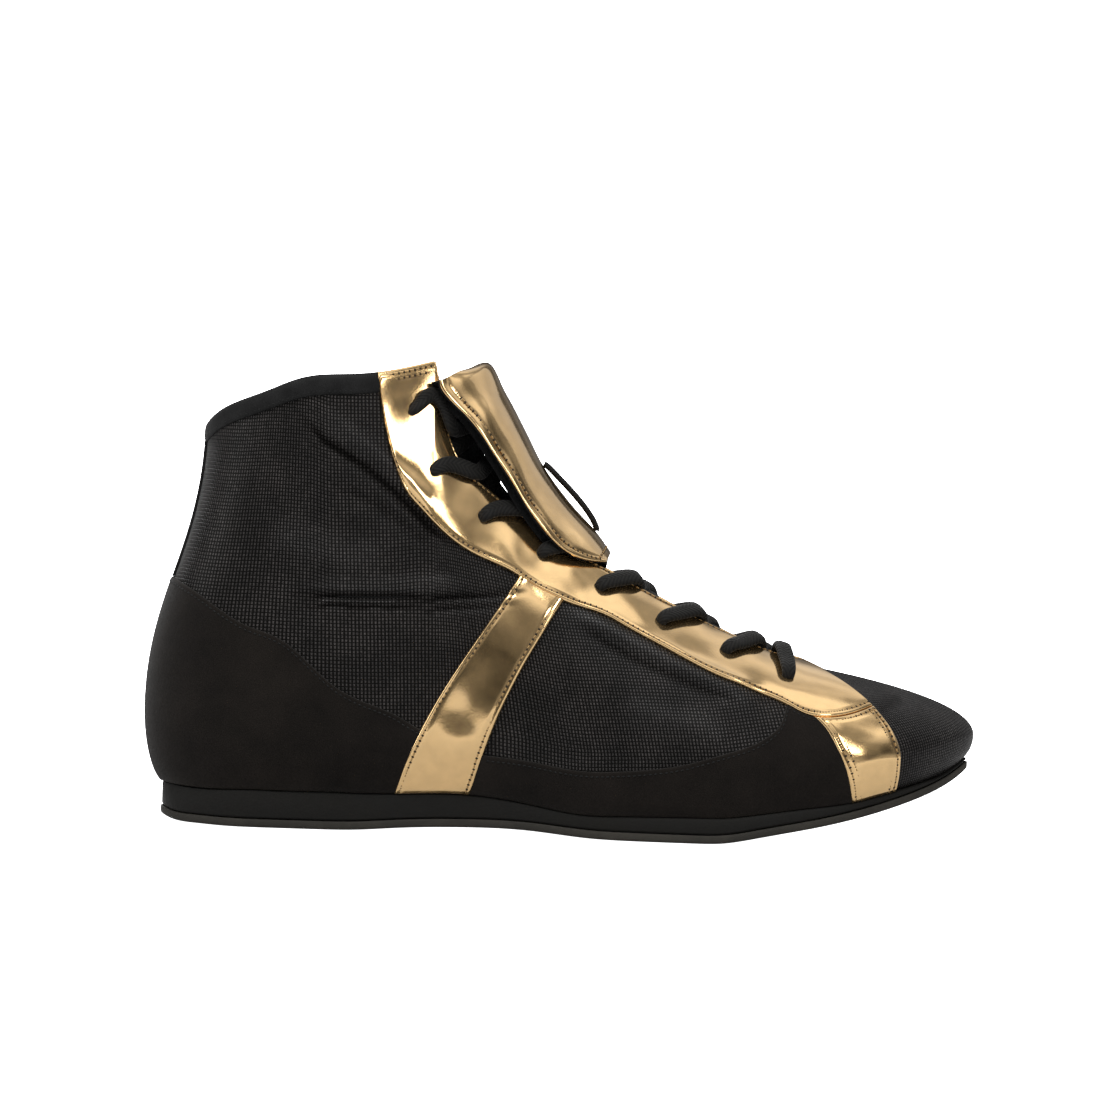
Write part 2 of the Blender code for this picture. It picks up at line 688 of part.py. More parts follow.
def add_facing(side, parent):
    rows = np.array([4.08, 4.16, 4.28, 4.5, 4.75, *np.arange(5.0, 12.1, 0.5), 12.35, BAND_FRONT_ROW])
    q = turn(side, rows)
    steps = np.linspace(0, 1, 5)
    feet = np.minimum(FACING_FOOT(q), below_top(q, 2 * STRAP))
    v = feet[:, None] * (1 - steps) + steps
    places = np.repeat(q[:, None], len(steps), axis=1)
    if side == "medial":
        places, v = places[::-1], v[::-1]
    points, faces = wall(skin(places, v, LAY + STRAP), skin(places, v, LAY))
    return add_object("facing_" + side, points, faces, "gold", parent)


def locate_eyelets(side):
    """Ring place and height of each eyelet, from where the side view shows it."""
    rows, heights = np.meshgrid(np.linspace(4.0, 13.0, 361), np.linspace(0.4, 1.0, 241), indexing="ij")
    points = last(turn(side, rows), heights)
    found = []
    for x, z in EYELETS:
        off = np.hypot(points[..., 0] - x * LENGTH, points[..., 2] - z * COLLAR_HEIGHT)
        i, k = np.unravel_index(np.argmin(off), off.shape)
        found.append((float(turn(side, rows[i, k])), float(heights[i, k])))
    return found


EYELET_PLACES = {side: locate_eyelets(side) for side in ("lateral", "medial")}


def add_eyelet_cutter(parent):
    """One peg through the upper and its eyestay for each eyelet, eight a side."""
    points, faces = [], []
    corners = 8
    reach = 2 * (WALL + LAY + STRAP)
    for side in ("lateral", "medial"):
        for q, v in EYELET_PLACES[side]:
            axis = outward(q, v)
            across = unit(np.cross(axis, (0.0, 0.0, 1.0)))
            other = np.cross(axis, across)
            centre = last(q, v)
            angles = np.arange(corners) * 2 * math.pi / corners
            ring = (np.cos(angles)[:, None] * across + np.sin(angles)[:, None] * other) * EYELET_DIAMETER / 2
            pegs, sides = tube(np.stack([centre + ring - axis * reach, centre + ring + axis * reach]))
            start = sum(len(block) for block in points)
            points.append(pegs)
            faces += [tuple(start + corner for corner in face) for face in sides]
    cutter = add_object("eyelet_cutter", np.concatenate(points), faces, "lining", parent)
    cutter.hide_render = True
    cutter.display_type = "WIRE"
    return cutter


def punch(obj, cutter):
    holes = obj.modifiers.new("Eyelets", "BOOLEAN")
    holes.operation = "DIFFERENCE"
    holes.solver = "EXACT"
    holes.object = cutter


def throat_frame(row):
    """Middle of the throat at a row, its half width, and the directions across, along and outwards."""
    lateral = last(turn("lateral", row), 1.0)
    medial = last(turn("medial", row), 1.0)
    before, after = max(row - 0.15, CORNER_ROW + 0.001), row + 0.15
    ahead = [last(turn(side, after), 1.0) - last(turn(side, before), 1.0) for side in ("lateral", "medial")]
    across = unit(medial - lateral)
    along = ahead[0] + ahead[1]
    along = unit(along - across * np.dot(along, across))
    return (lateral + medial) / 2, np.linalg.norm(medial - lateral) / 2, across, along, np.cross(along, across)


def eyestay_slope(row, across, out):
    """How steeply the eyestay falls away at the throat's edge, in the plane across the throat."""
    normal = outward(turn("lateral", row), 0.985)
    return math.atan2(-np.dot(normal, across), np.dot(normal, out))


def tongue_profile(row, crown_slope, sink=0.0, steps=4, tucks=2):
    """Half profile across the tongue, from its crown to its tucked edge: offsets across and outwards, and slope."""
    _, half, across, _, out = throat_frame(row)
    slope = max(eyestay_slope(row, across, out), math.radians(crown_slope))
    fine = 60
    lengths = np.linspace(0, half * 1.25, fine)
    share = np.clip(lengths / (0.8 * half), 0, 1)
    turning = np.clip((lengths - 0.8 * half) / (0.25 * half), 0, 1)
    slopes = math.radians(crown_slope) * share + (slope - math.radians(crown_slope)) * turning
    step = lengths[1]
    x = np.concatenate([[0], np.cumsum(np.cos((slopes[1:] + slopes[:-1]) / 2) * step)])
    y = np.concatenate([[0], np.cumsum(-np.sin((slopes[1:] + slopes[:-1]) / 2) * step)])
    reach = np.interp(half, x, lengths)
    y = y - np.interp(reach, lengths, y)
    stations = np.linspace(0, reach, steps + 1)
    across_at = list(np.interp(stations, lengths, x))
    out_at = list(np.interp(stations, lengths, y))
    slope_at = list(np.interp(stations, lengths, slopes))
    slope_at[-1] = slope
    for _ in range(tucks):
        tuck = TONGUE_TUCK / tucks
        bend = slope_at[-1] + tuck / TONGUE_TUCK_RADIUS / 2
        across_at.append(across_at[-1] + math.cos(bend) * tuck)
        out_at.append(out_at[-1] - math.sin(bend) * tuck)
        slope_at.append(slope_at[-1] + tuck / TONGUE_TUCK_RADIUS)
    return np.array(across_at), np.array(out_at) - sink, np.array(slope_at)


def tongue_depth():
    """How far under the last's surface the tongue's face lies."""
    return WALL + TONGUE_EASE


def tongue_section(row, crown_slope, depth, extension=0.0, sink=0.0):
    """A row of points across the tongue from lateral to medial, at a depth under the line of the eyestays."""
    middle, _, across, along, out = throat_frame(row)
    side, up, slope = tongue_profile(row, crown_slope, sink)
    side = side - np.sin(slope) * depth
    up = up - np.cos(slope) * depth
    side = np.concatenate([-side[:0:-1], side])
    up = np.concatenate([up[:0:-1], up])
    return middle + along * extension + side[:, None] * across + up[:, None] * out


def add_tongue(parent):
    face, back = [], []
    depth = tongue_depth()
    rows = [(row, slope, 0.0, 0.0) for row, slope in TONGUE_ROWS]
    end_row, end_slope = TONGUE_ROWS[-1]
    rows += [(end_row, end_slope, extension, sink) for extension, sink in TONGUE_END_ROWS]
    for row, slope, extension, sink in rows:
        face.append(tongue_section(row, slope, depth, extension, sink))
        back.append(tongue_section(row, slope, depth + TONGUE_THICKNESS, extension, sink))
    face = np.stack(face, axis=1)
    back = np.stack(back, axis=1)
    points, faces = wall(face[:, ::-1], back[:, ::-1])
    add_object("tongue", points, faces, "lining", parent)


FLAP_COLUMNS = [
    smooth_curve(range(len(FLAP_ROWS)), [row[i] * size for row in FLAP_ROWS])
    for i, size in enumerate((LENGTH, COLLAR_HEIGHT, LENGTH, COLLAR_HEIGHT, BALL_WIDTH))
]


def flap(a, b):
    """Outer face of the folded flap: a counts rows from the fold to the tip, b runs from -1 to 1 across."""
    a, b = np.broadcast_arrays(np.asarray(a, float), np.asarray(b, float))
    crest_x, crest_z, edge_x, edge_z, half = (curve(a) for curve in FLAP_COLUMNS)
    angle = b * FLAP_WRAP
    drop = (1 - np.cos(angle)) / (1 - math.cos(FLAP_WRAP))
    side = np.sin(angle) / math.sin(FLAP_WRAP)
    return np.stack(
        [crest_x + (edge_x - crest_x) * drop, side * half, crest_z + (edge_z - crest_z) * drop], axis=-1
    )


def flap_outward(a, b):
    along = flap(np.clip(a + 0.05, 0, len(FLAP_ROWS) - 1), b) - flap(np.clip(a - 0.05, 0, len(FLAP_ROWS) - 1), b)
    across = flap(a, np.clip(b + 0.02, -1, 1)) - flap(a, np.clip(b - 0.02, -1, 1))
    return unit(np.cross(along, across))


def flap_layer(name, top, bottom, end, share, surface, parent):
    a = np.linspace(0, end, 10)
    b = np.linspace(-share, share, 9)
    a, b = np.meshgrid(a, b, indexing="ij")
    normal = flap_outward(a, b)
    points, faces = wall(flap(a, b) - normal * top, flap(a, b) - normal * bottom)
    add_object(name, points, faces, surface, parent)


def add_flap(parent):
    tip = len(FLAP_ROWS) - 1
    flap_layer("tongue_flap", 0.0, FLAP_SKIN, tip, 1.0, "gold", parent)
    pad_top = FLAP_SKIN + 2 * FIT
    flap_layer("flap_pad", pad_top, pad_top + FLAP_PAD, tip - 0.5, PAD_SHARE, "lining", parent)


def bar(points, ups, width, thickness):
    """A flat bar with chamfered corners along a path, with its own up direction at each point."""
    along = np.gradient(points, axis=0)
    across = unit(np.cross(ups, along))
    up = unit(np.cross(along, across))
    profile = ((-0.5, 0.0), (-0.32, -0.5), (0.32, -0.5), (0.5, 0.0), (0.32, 0.5), (-0.32, 0.5))
    rings = np.stack([points + across * (w * width) + up * (t * thickness) for w, t in profile], axis=1)
    return tube(rings)


def add_loop(parent):
    a = np.linspace(LOOP_FROM, LOOP_TO, 9)
    normal = flap_outward(a, np.zeros(len(a)))
    rise = FIT + LOOP_THICKNESS / 2 + np.sin(np.linspace(0, math.pi, len(a))) * LOOP_BOW
    points, faces = bar(flap(a, 0.0) + normal * rise[:, None], normal, LOOP_WIDTH, LOOP_THICKNESS)
    add_object("flap_loop", points, faces, "lining", parent)


def edge_row(q, v):
    """The row at which the throat's edge comes nearest to an eyelet."""
    side = "lateral" if q < LAST_ROW else "medial"
    edge = last(turn(side, THROAT_ROWS), np.ones(THROAT_ROWS.shape))
    return THROAT_ROWS[np.argmin(np.linalg.norm(edge - last(q, v), axis=1))]


CROWN_SLOPE = smooth_curve([row for row, _ in TONGUE_ROWS], [slope for _, slope in TONGUE_ROWS])


def over_tongue(row, share, lift):
    """A point above the tongue at a share of the half width, and the direction out of the tongue there."""
    middle, half, across, _, out = throat_frame(row)
    side, up, slope = tongue_profile(row, float(CROWN_SLOPE(row)))
    place = abs(share) * half
    height = np.interp(place, side, up)
    tilt = np.interp(place, side, slope) * np.sign(share)
    normal = out * math.cos(tilt) + across * math.sin(tilt)
    return middle + across * (share * half) + out * height + normal * (lift - tongue_depth()), normal


def lace_path(side, number, reach):
    """Middle line of a lace and its up directions, from an eyelet over the throat towards the next row."""
    sign = -1 if side == "lateral" else 1
    rise = LAY + STRAP + FIT + LACE_THICKNESS / 2
    lift = LACE_THICKNESS / 2 + 4.5 * FIT
    q, v = EYELET_PLACES[side][number]
    own = edge_row(q, v)
    following = edge_row(*EYELET_PLACES[side][min(number + 1, len(EYELETS) - 1)])
    rows = own + (following - own) * np.array([0.22, 0.36, 0.50, 0.62, 0.74]) * reach
    lip = turn(side, rows[0])
    half_way = (q + lip) / 2, (v + 1) / 2
    points = [skin(q, v, rise), skin(*half_way, rise + LACE_LIP_LIFT), skin(lip, 1.0, rise + LACE_LIP_LIFT)]
    ups = [outward(q, v), outward(*half_way), outward(lip, 0.99)]
    for row, share in zip(rows[1:], (0.6, 0.0, -0.45, -0.78)):
        point, up = over_tongue(row, sign * share, lift)
        points.append(point)
        ups.append(up)
    return points, ups


def smooth_path(points, ups, count=8):
    points, ups = np.array(points), np.array(ups)
    lengths = np.concatenate([[0], np.cumsum(np.linalg.norm(np.diff(points, axis=0), axis=1))])
    at = np.linspace(0, lengths[-1], count)
    line = np.stack([smooth_curve(lengths, points[:, i])(at) for i in range(3)], axis=1)
    up = np.stack([smooth_curve(lengths, ups[:, i])(at) for i in range(3)], axis=1)
    return line, unit(up)


def add_laces(parent):
    for number in range(len(EYELETS) - 1):
        bars = []
        for side in ("lateral", "medial"):
            line, up = smooth_path(*lace_path(side, number, 0.75 if number == len(EYELETS) - 2 else 1.0))
            points, faces = bar(line, up, LACE_WIDTH, LACE_THICKNESS)
            name = "lace_cross_%d" % (number + 1) if side == "lateral" else "lace_under_%d" % (number + 1)
            bars.append(add_object(name, points, faces, "lace", parent))
        bars[1].hide_render = True
        bars[1].display_type = "WIRE"
        joined = bars[0].modifiers.new("Crossing", "BOOLEAN")
        joined.operation = "UNION"
        joined.solver = "EXACT"
        joined.object = bars[1]
    near, near_up = lace_path("lateral", len(EYELETS) - 1, 0.0)
    far, far_up = lace_path("medial", len(EYELETS) - 1, 0.0)
    line, up = smooth_path(near[:5] + far[3::-1], near_up[:5] + far_up[3::-1], 13)
    points, faces = bar(line, up, LACE_WIDTH, LACE_THICKNESS)
    add_object("lace_bar", points, faces, "lace", parent)


def clear_scene():
    for obj in list(bpy.data.objects):
        bpy.data.objects.remove(obj, do_unlink=True)


def stand_at_origin(parent):
    """Moves the shoe so that the middle of its box's underside is the origin."""
    bpy.context.view_layer.update()
    meshes = [obj.data for obj in bpy.data.objects if obj.type == "MESH" and not obj.hide_render]
    corners = np.array([vertex.co[:] for mesh in meshes for vertex in mesh.vertices])
    low, high = corners.min(axis=0), corners.max(axis=0)
    parent.location = (-(low[0] + high[0]) / 2, -(low[1] + high[1]) / 2, -low[2])


def main():
    clear_scene()
    shoe = bpy.data.objects.new("wrestling_shoe", None)
    bpy.context.scene.collection.objects.link(shoe)
    add_sole(shoe)
    upper = add_upper(shoe)
    add_binding(shoe)
    add_overlays(shoe)
    facings = [add_facing(side, shoe) for side in ("lateral", "medial")]
    cutter = add_eyelet_cutter(shoe)
    for obj in (upper, *facings):
        punch(obj, cutter)
    add_tongue(shoe)
    add_flap(shoe)
    add_loop(shoe)
    add_laces(shoe)
    stand_at_origin(shoe)


main()
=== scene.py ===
"""Looks for a high-top wrestling shoe: mesh, suede, gold patent, stitches, laces and rubber on the solids.

Every piece follows the same last as the solids: ribs round the foot from the sole's edge to the top line.
The toe points along +X, the outer (lateral) side faces -Y and +Z is up.
"""

import math

import bmesh
import bpy
import numpy as np
from mathutils import Matrix, Vector


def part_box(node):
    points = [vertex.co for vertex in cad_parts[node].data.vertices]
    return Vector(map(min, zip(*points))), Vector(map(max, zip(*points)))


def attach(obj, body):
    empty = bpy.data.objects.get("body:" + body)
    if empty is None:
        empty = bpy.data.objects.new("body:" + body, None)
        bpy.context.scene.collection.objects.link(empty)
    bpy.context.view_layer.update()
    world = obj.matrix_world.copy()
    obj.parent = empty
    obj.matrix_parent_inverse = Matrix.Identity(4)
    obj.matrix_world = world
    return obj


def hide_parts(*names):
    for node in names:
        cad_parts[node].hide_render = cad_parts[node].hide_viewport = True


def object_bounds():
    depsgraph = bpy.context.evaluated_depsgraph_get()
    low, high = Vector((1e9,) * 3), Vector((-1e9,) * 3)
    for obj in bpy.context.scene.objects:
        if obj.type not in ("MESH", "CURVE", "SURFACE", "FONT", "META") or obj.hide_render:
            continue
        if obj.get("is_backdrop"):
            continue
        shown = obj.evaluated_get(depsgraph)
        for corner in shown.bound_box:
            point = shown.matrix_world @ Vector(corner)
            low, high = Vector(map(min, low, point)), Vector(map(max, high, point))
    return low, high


bl_info = {
    "name": "Wrestling Shoe Looks",
    "version": (1, 0, 0),
    "blender": (4, 5, 0),
    "location": "View3D > Sidebar > Shoe",
    "description": "Builds the visible pieces of a high-top wrestling shoe on its packed frame",
    "category": "Object",
}

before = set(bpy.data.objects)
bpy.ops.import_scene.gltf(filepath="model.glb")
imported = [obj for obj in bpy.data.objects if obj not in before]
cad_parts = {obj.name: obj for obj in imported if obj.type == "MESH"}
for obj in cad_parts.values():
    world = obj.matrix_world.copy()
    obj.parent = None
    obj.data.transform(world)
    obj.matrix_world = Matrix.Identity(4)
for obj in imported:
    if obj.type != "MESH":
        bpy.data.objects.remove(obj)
CAD_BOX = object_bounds()

# Driving sizes of the solids in metres
LENGTH = 0.285
BALL_WIDTH = 0.095
COLLAR_HEIGHT = 0.160
TOE_SPRING = 0.030
SOLE_HEIGHT = 0.0128
OUTSOLE_THICKNESS = 0.0028
WELT = 0.0017
OUTSOLE_STEP = 0.0004
INSOLE_THICKNESS = 0.003
WALL = 0.002
BINDING_HEIGHT = 0.007
FIT = 0.0003
SOLE_SEAT = 0.0004
TONGUE_THICKNESS = 0.005
TONGUE_TUCK = 0.012
TONGUE_TUCK_RADIUS = 0.023
TONGUE_EASE = 0.0010
BACKSTAY_WIDTH = 0.007

# Ribs of the last from the back of the heel to the toe. Lengths along x are shares of LENGTH, heights of
# COLLAR_HEIGHT, half widths of BALL_WIDTH. Lean, rise, reach, draw and lift shape the curve above the girth.
RIB_COLUMNS = (
    "foot_x", "girth_x", "top_x", "girth_z", "top_z",
    "lateral_foot", "lateral_girth", "lateral_top", "medial_foot", "medial_girth", "medial_top",
    "lean", "rise", "reach", "draw", "lift",
)
RIBS = (
    (0.026, 0.005, 0.067, 0.25, 0.856, 0.0, 0.0, 0.0, 0.0, 0.0, 0.0, 0.0, 0.4, 1.0, 1.0, 0.55),
    (0.046, 0.034, 0.088, 0.25, 0.888, 0.19, 0.242, 0.19, 0.19, 0.242, 0.19, 0.0, 0.4, 0.95, 0.92, 0.6),
    (0.112, 0.109, 0.137, 0.244, 0.925, 0.284, 0.347, 0.29, 0.28, 0.337, 0.285, 0.1, 0.36, 0.85, 0.9, 0.66),
    (0.218, 0.21, 0.198, 0.238, 0.962, 0.295, 0.368, 0.326, 0.274, 0.353, 0.32, 0.2, 0.35, 0.8, 0.85, 0.7),
    (0.298, 0.288, 0.267, 0.231, 0.972, 0.305, 0.374, 0.295, 0.253, 0.353, 0.29, 0.25, 0.35, 0.8, 0.8, 0.72),
    (0.361, 0.351, 0.335, 0.225, 1.00, 0.316, 0.384, 0.205, 0.247, 0.358, 0.205, 0.3, 0.35, 0.8, 0.78, 0.74),
    (0.414, 0.40, 0.353, 0.219, 0.844, 0.337, 0.40, 0.212, 0.253, 0.368, 0.212, 0.3, 0.37, 0.76, 0.72, 0.76),
    (0.484, 0.47, 0.40, 0.20, 0.734, 0.379, 0.43, 0.20, 0.284, 0.39, 0.20, 0.3, 0.4, 0.75, 0.64, 0.79),
    (0.561, 0.547, 0.48, 0.181, 0.634, 0.43, 0.474, 0.18, 0.347, 0.43, 0.18, 0.3, 0.42, 0.75, 0.58, 0.81),
    (0.642, 0.632, 0.575, 0.162, 0.54, 0.463, 0.495, 0.158, 0.41, 0.468, 0.158, 0.3, 0.45, 0.75, 0.54, 0.82),
    (0.723, 0.716, 0.667, 0.156, 0.459, 0.463, 0.49, 0.137, 0.437, 0.479, 0.137, 0.28, 0.47, 0.72, 0.52, 0.83),
    (0.796, 0.793, 0.737, 0.169, 0.406, 0.416, 0.442, 0.116, 0.432, 0.458, 0.12, 0.22, 0.48, 0.67, 0.5, 0.84),
    (0.86, 0.863, 0.772, 0.188, 0.388, 0.345, 0.385, 0.084, 0.398, 0.425, 0.095, 0.14, 0.47, 0.6, 0.48, 0.83),
    (0.919, 0.925, 0.789, 0.206, 0.38, 0.235, 0.275, 0.05, 0.325, 0.352, 0.065, 0.05, 0.43, 0.5, 0.45, 0.8),
    (0.963, 0.974, 0.798, 0.225, 0.375, 0.075, 0.105, 0.015, 0.23, 0.258, 0.04, 0.0, 0.4, 0.42, 0.42, 0.76),
    (0.984, 0.998, 0.802, 0.238, 0.374, -0.085, -0.085, -0.012, 0.085, 0.085, 0.012, 0.0, 0.38, 0.36, 0.4, 0.72),
)
GIRTH_SHARE = 0.28
FOOT_SPREAD = 0.50
FOOT_RISE = 0.15
GIRTH_DROP = 0.50

# The sole from heel to toe: place as a share of LENGTH, underside as a share of TOE_SPRING and full thickness
# as a share of SOLE_HEIGHT. Where the underside would pass below the floor it is ground flat.
SOLE_SECTIONS = (
    (0.000, 0.200, 0.82),
    (0.020, 0.125, 0.87),
    (0.037, 0.062, 0.95),
    (0.070, 0.022, 0.96),
    (0.120, -0.008, 1.00),
    (0.180, -0.012, 1.00),
    (0.240, -0.005, 1.00),
    (0.310, 0.050, 0.92),
    (0.390, 0.085, 0.88),
    (0.470, 0.075, 0.70),
    (0.530, 0.020, 0.61),
    (0.580, -0.008, 0.65),
    (0.640, -0.014, 0.68),
    (0.685, -0.005, 0.69),
    (0.740, 0.090, 0.63),
    (0.800, 0.205, 0.56),
    (0.850, 0.320, 0.47),
    (0.900, 0.470, 0.43),
    (0.940, 0.620, 0.36),
    (0.980, 0.850, 0.27),
    (1.000, 1.030, 0.28),
)

# Edges of the overlays as they lie on the side view: x as a share of LENGTH, z as a share of COLLAR_HEIGHT
COUNTER_EDGE = (
    (-0.02, 0.545), (0.026, 0.527), (0.072, 0.483), (0.121, 0.430), (0.168, 0.398), (0.200, 0.352),
    (0.229, 0.308), (0.264, 0.276), (0.301, 0.252), (0.335, 0.219), (0.400, 0.160),
)
MUDGUARD_EDGE = (
    (0.330, 0.185), (0.400, 0.172), (0.470, 0.160), (0.520, 0.146), (0.579, 0.148), (0.649, 0.166),
    (0.696, 0.191), (0.731, 0.213), (0.754, 0.240), (0.766, 0.280), (0.774, 0.350),
)
FACING_EDGE = (
    (0.268, 0.990), (0.274, 0.914), (0.285, 0.822), (0.301, 0.741), (0.324, 0.688), (0.349, 0.644),
    (0.392, 0.592), (0.440, 0.554), (0.467, 0.525), (0.506, 0.495), (0.547, 0.469), (0.580, 0.439),
    (0.626, 0.396), (0.660, 0.365), (0.691, 0.341), (0.733, 0.319), (0.764, 0.298), (0.789, 0.277),
    (0.815, 0.270), (0.866, 0.292), (0.900, 0.320),
)
# Edges that run down to the sole: z as a share of COLLAR_HEIGHT, x as a share of LENGTH
BAND_BACK_EDGE = (
    (0.050, 0.8465), (0.120, 0.8450), (0.182, 0.8350), (0.222, 0.8230), (0.258, 0.8080), (0.290, 0.7850),
)
STRAP_BACK_EDGE = ((0.05, 0.300), (0.12, 0.312), (0.22, 0.335), (0.34, 0.372), (0.46, 0.415), (0.62, 0.470))
STRAP_FRONT_EDGE = ((0.05, 0.392), (0.12, 0.402), (0.22, 0.420), (0.34, 0.449), (0.46, 0.486), (0.62, 0.540))
BAND_FRONT_ROW = 12.65

# Eyelets from the collar down, on the side view: x as a share of LENGTH, z as a share of COLLAR_HEIGHT
EYELETS = (
    (0.314, 0.898), (0.341, 0.768), (0.401, 0.672), (0.472, 0.598),
    (0.542, 0.528), (0.617, 0.461), (0.694, 0.401), (0.768, 0.351),
)

# The tongue along the throat: row of the last, slope of its crown in degrees where it nears the eyestays
TONGUE_ROWS = (
    (5.02, 50), (5.4, 50), (5.8, 48), (6.2, 45), (6.7, 38), (7.2, 28), (7.8, 18), (8.5, 12),
    (9.2, 10), (10.0, 10), (10.8, 10), (11.6, 10), (12.5, 10), (13.2, 8),
)
TONGUE_END_ROWS = ((0.010, 0.0012), (0.018, 0.0024))

# The folded end of the tongue from its fold to its tip: crest and side edge as x (share of LENGTH) and z
# (share of COLLAR_HEIGHT), and half width (share of BALL_WIDTH)
FLAP_ROWS = (
    (0.386, 0.996, 0.345, 0.959, 0.304),
    (0.404, 0.996, 0.350, 0.934, 0.308),
    (0.418, 0.950, 0.370, 0.900, 0.310),
    (0.437, 0.895, 0.393, 0.856, 0.308),
    (0.468, 0.792, 0.435, 0.750, 0.308),
    (0.499, 0.716, 0.469, 0.661, 0.302),
    (0.531, 0.656, 0.510, 0.598, 0.272),
    (0.557, 0.600, 0.553, 0.587, 0.170),
)
FLAP_WRAP = math.radians(65)
# The webbing loop on the flap: first and last row, width and thickness
LOOP_FROM, LOOP_TO = 4.05, 6.15
LOOP_WIDTH = 0.0078
LOOP_THICKNESS = 0.0021

SIDES = ("lateral", "medial")

# Creases of the upper on the side view: half width and height (troughs below zero), then points as x and z
CREASES = (
    (0.0015, -0.0008, ((0.048, 0.144), (0.060, 0.1315), (0.073, 0.124), (0.084, 0.1155), (0.096, 0.1035),
                       (0.107, 0.0945))),
    (0.0026, 0.0005, ((0.056, 0.1455), (0.066, 0.1355), (0.078, 0.128), (0.089, 0.119), (0.099, 0.1075))),
    (0.0022, -0.00035, ((0.060, 0.1180), (0.074, 0.1130), (0.088, 0.1040), (0.100, 0.0960))),
    (0.0011, -0.0008, ((0.046, 0.0803), (0.070, 0.0792), (0.095, 0.0797), (0.133, 0.0822))),
    (0.0009, -0.0006, ((0.050, 0.0768), (0.072, 0.0757), (0.097, 0.0762), (0.128, 0.0780))),
    (0.0024, 0.0006, ((0.052, 0.0835), (0.080, 0.0835), (0.112, 0.0850))),
    (0.0050, 0.0005, ((0.040, 0.104), (0.060, 0.0965), (0.082, 0.091))),
    (0.0034, 0.0011, ((0.142, 0.0795), (0.160, 0.070), (0.180, 0.0605), (0.198, 0.0530), (0.212, 0.0475))),
    (0.0014, -0.0006, ((0.146, 0.0725), (0.165, 0.0625), (0.185, 0.0540), (0.205, 0.0465))),
    (0.0050, 0.0005, ((0.160, 0.0455), (0.180, 0.0400), (0.200, 0.0370))),
    (0.0030, -0.0004, ((0.249, 0.045), (0.255, 0.049), (0.260, 0.052))),
)
CREASE_SCALE = 1.7
# Waves of the patent leather: lengths along x and z in metres, turn, height
PATENT_WAVES = ((0.029, 0.025, 0.3, 0.00030), (0.019, 0.034, 1.9, 0.00015))
# Cross-section of the collar's edging: distance below the top line and depth outwards, both in millimetres
EDGING = (
    (7.1, -0.2), (6.9, 0.7), (5.6, 1.1), (3.6, 1.2), (1.9, 1.0), (0.7, 0.5), (0.0, -0.3),
    (0.0, -1.7), (0.8, -2.5), (2.6, -3.0), (5.0, -3.0), (6.9, -2.5), (7.1, -1.8),
)
# The lace at each eyelet from below, up through the hole and over the eyestay's lip: place from the hole
# towards the lip as a share, height over the upper in millimetres, width and thickness as shares
LACE_BEND = (
    (0.85, -2.8, 0.95, 0.50), (0.42, -2.9, 0.80, 0.55), (0.16, -2.4, 0.70, 0.80), (0.00, -0.6, 0.70, 0.95),
    (-0.03, 1.4, 0.72, 1.00), (0.00, 2.4, 0.80, 1.00), (0.20, 3.2, 0.92, 1.00), (0.50, 3.5, 1.00, 1.00),
)
# The lace between two eyestays: share of the throat's half width, share of the way to the next eyelet, height
LACE_CROSSING = (
    (0.62, 0.50, 0.0028), (0.30, 0.56, 0.0030), (0.0, 0.62, 0.0025),
    (-0.35, 0.69, 0.0022), (-0.66, 0.76, 0.0016), (-0.90, 0.82, 0.0010),
)
# Height of the lace over the eyestay's lip, and of the bar over the tongue with its places across
LACE_OVER_LIP = 0.0037
BAR_HEIGHT = 0.0034
BAR_PLACES = (0.55, 0.0, -0.55)
LACE_SPACING = 0.0007
# The upper's lining: points round the shoe and up each rib, and its gap to the outer part of the wall
LINING_POINTS = (240, 44)
LINING_GAP = 0.00005
# Gap between a panel and the upper
PANEL_GAP = 0.00006
# Radius of the rounded edges of gold panels, other panels and the flap
GOLD_RADIUS = 0.0012
PANEL_RADIUS = 0.0009
FLAP_RADIUS = 0.0011
# The flap's seam: distance from its edge, reach and depth
FLAP_SEAM = (0.0028, 0.0008, 0.0002)
# Depths of both faces of the flap's skin and of its lining
FLAP_SKIN = (0.0, 0.0011)
FLAP_LINING = (0.00112, 0.0052)
# Width of the lining as a share of the flap's, and how far it swells within a distance of its edge. The lining
# is the flap's own black backing, but it reaches past the flap's edges so that its black also fills the gap
# under them: partly real lining, partly a dark stand-in for the shade in that gap.
FLAP_LINING_WIDTH = 1.095
LINING_SWELL = 0.0006
SWELL_REACH = 0.008
# The upper's rows are drawn down under the edging above this share of its height
RIM_FROM = 0.8
# In front of this row the open mesh is finer by the scale
TOE_MESH_ROW = 12.2
TOE_MESH_SCALE = 1.28
# The eyestay: its upper end, and how far its lower edge stays below the top line
EYESTAY_TOP_ROW = 4.03
EYESTAY_DROP = 0.0026
# How deep and how far seams and eyelets draw the gold panels in
SEAM_DEPTH = 0.00022
SEAM_REACH = 0.0007
PULL_DEPTH = 0.00085
PULL_REACH = 0.0075
# Rows by which panels run under their neighbours, and by which the edging passes its last row
PANEL_LAP = 0.012
COLLAR_LAP = 0.07
# The sole's layers are drawn in at the back of the heel
HEEL_INSET = 0.0016
HEEL_REACH = 0.030
# The row at which the padded tongue ends under the flap
TONGUE_TOP_ROW = 5.30
# How far a seam of the suede lies from the panel's edge
SUEDE_SEAM_INSET = 0.0016
# Second row of a double seam, as a multiple of the first row's distance from the edge
DOUBLE_SEAM = 2.1
# How deep gold stitches sink into the patent leather
SEAM_SINK = 0.00020
FLOOR_RADIUS = 5.0
# Brightness of the studio from below (0) to overhead (1), as reflections see it
STUDIO_RAMP = ((0.0, 0.45), (0.20, 0.10), (0.50, 0.18), (0.70, 0.85), (0.88, 0.95))
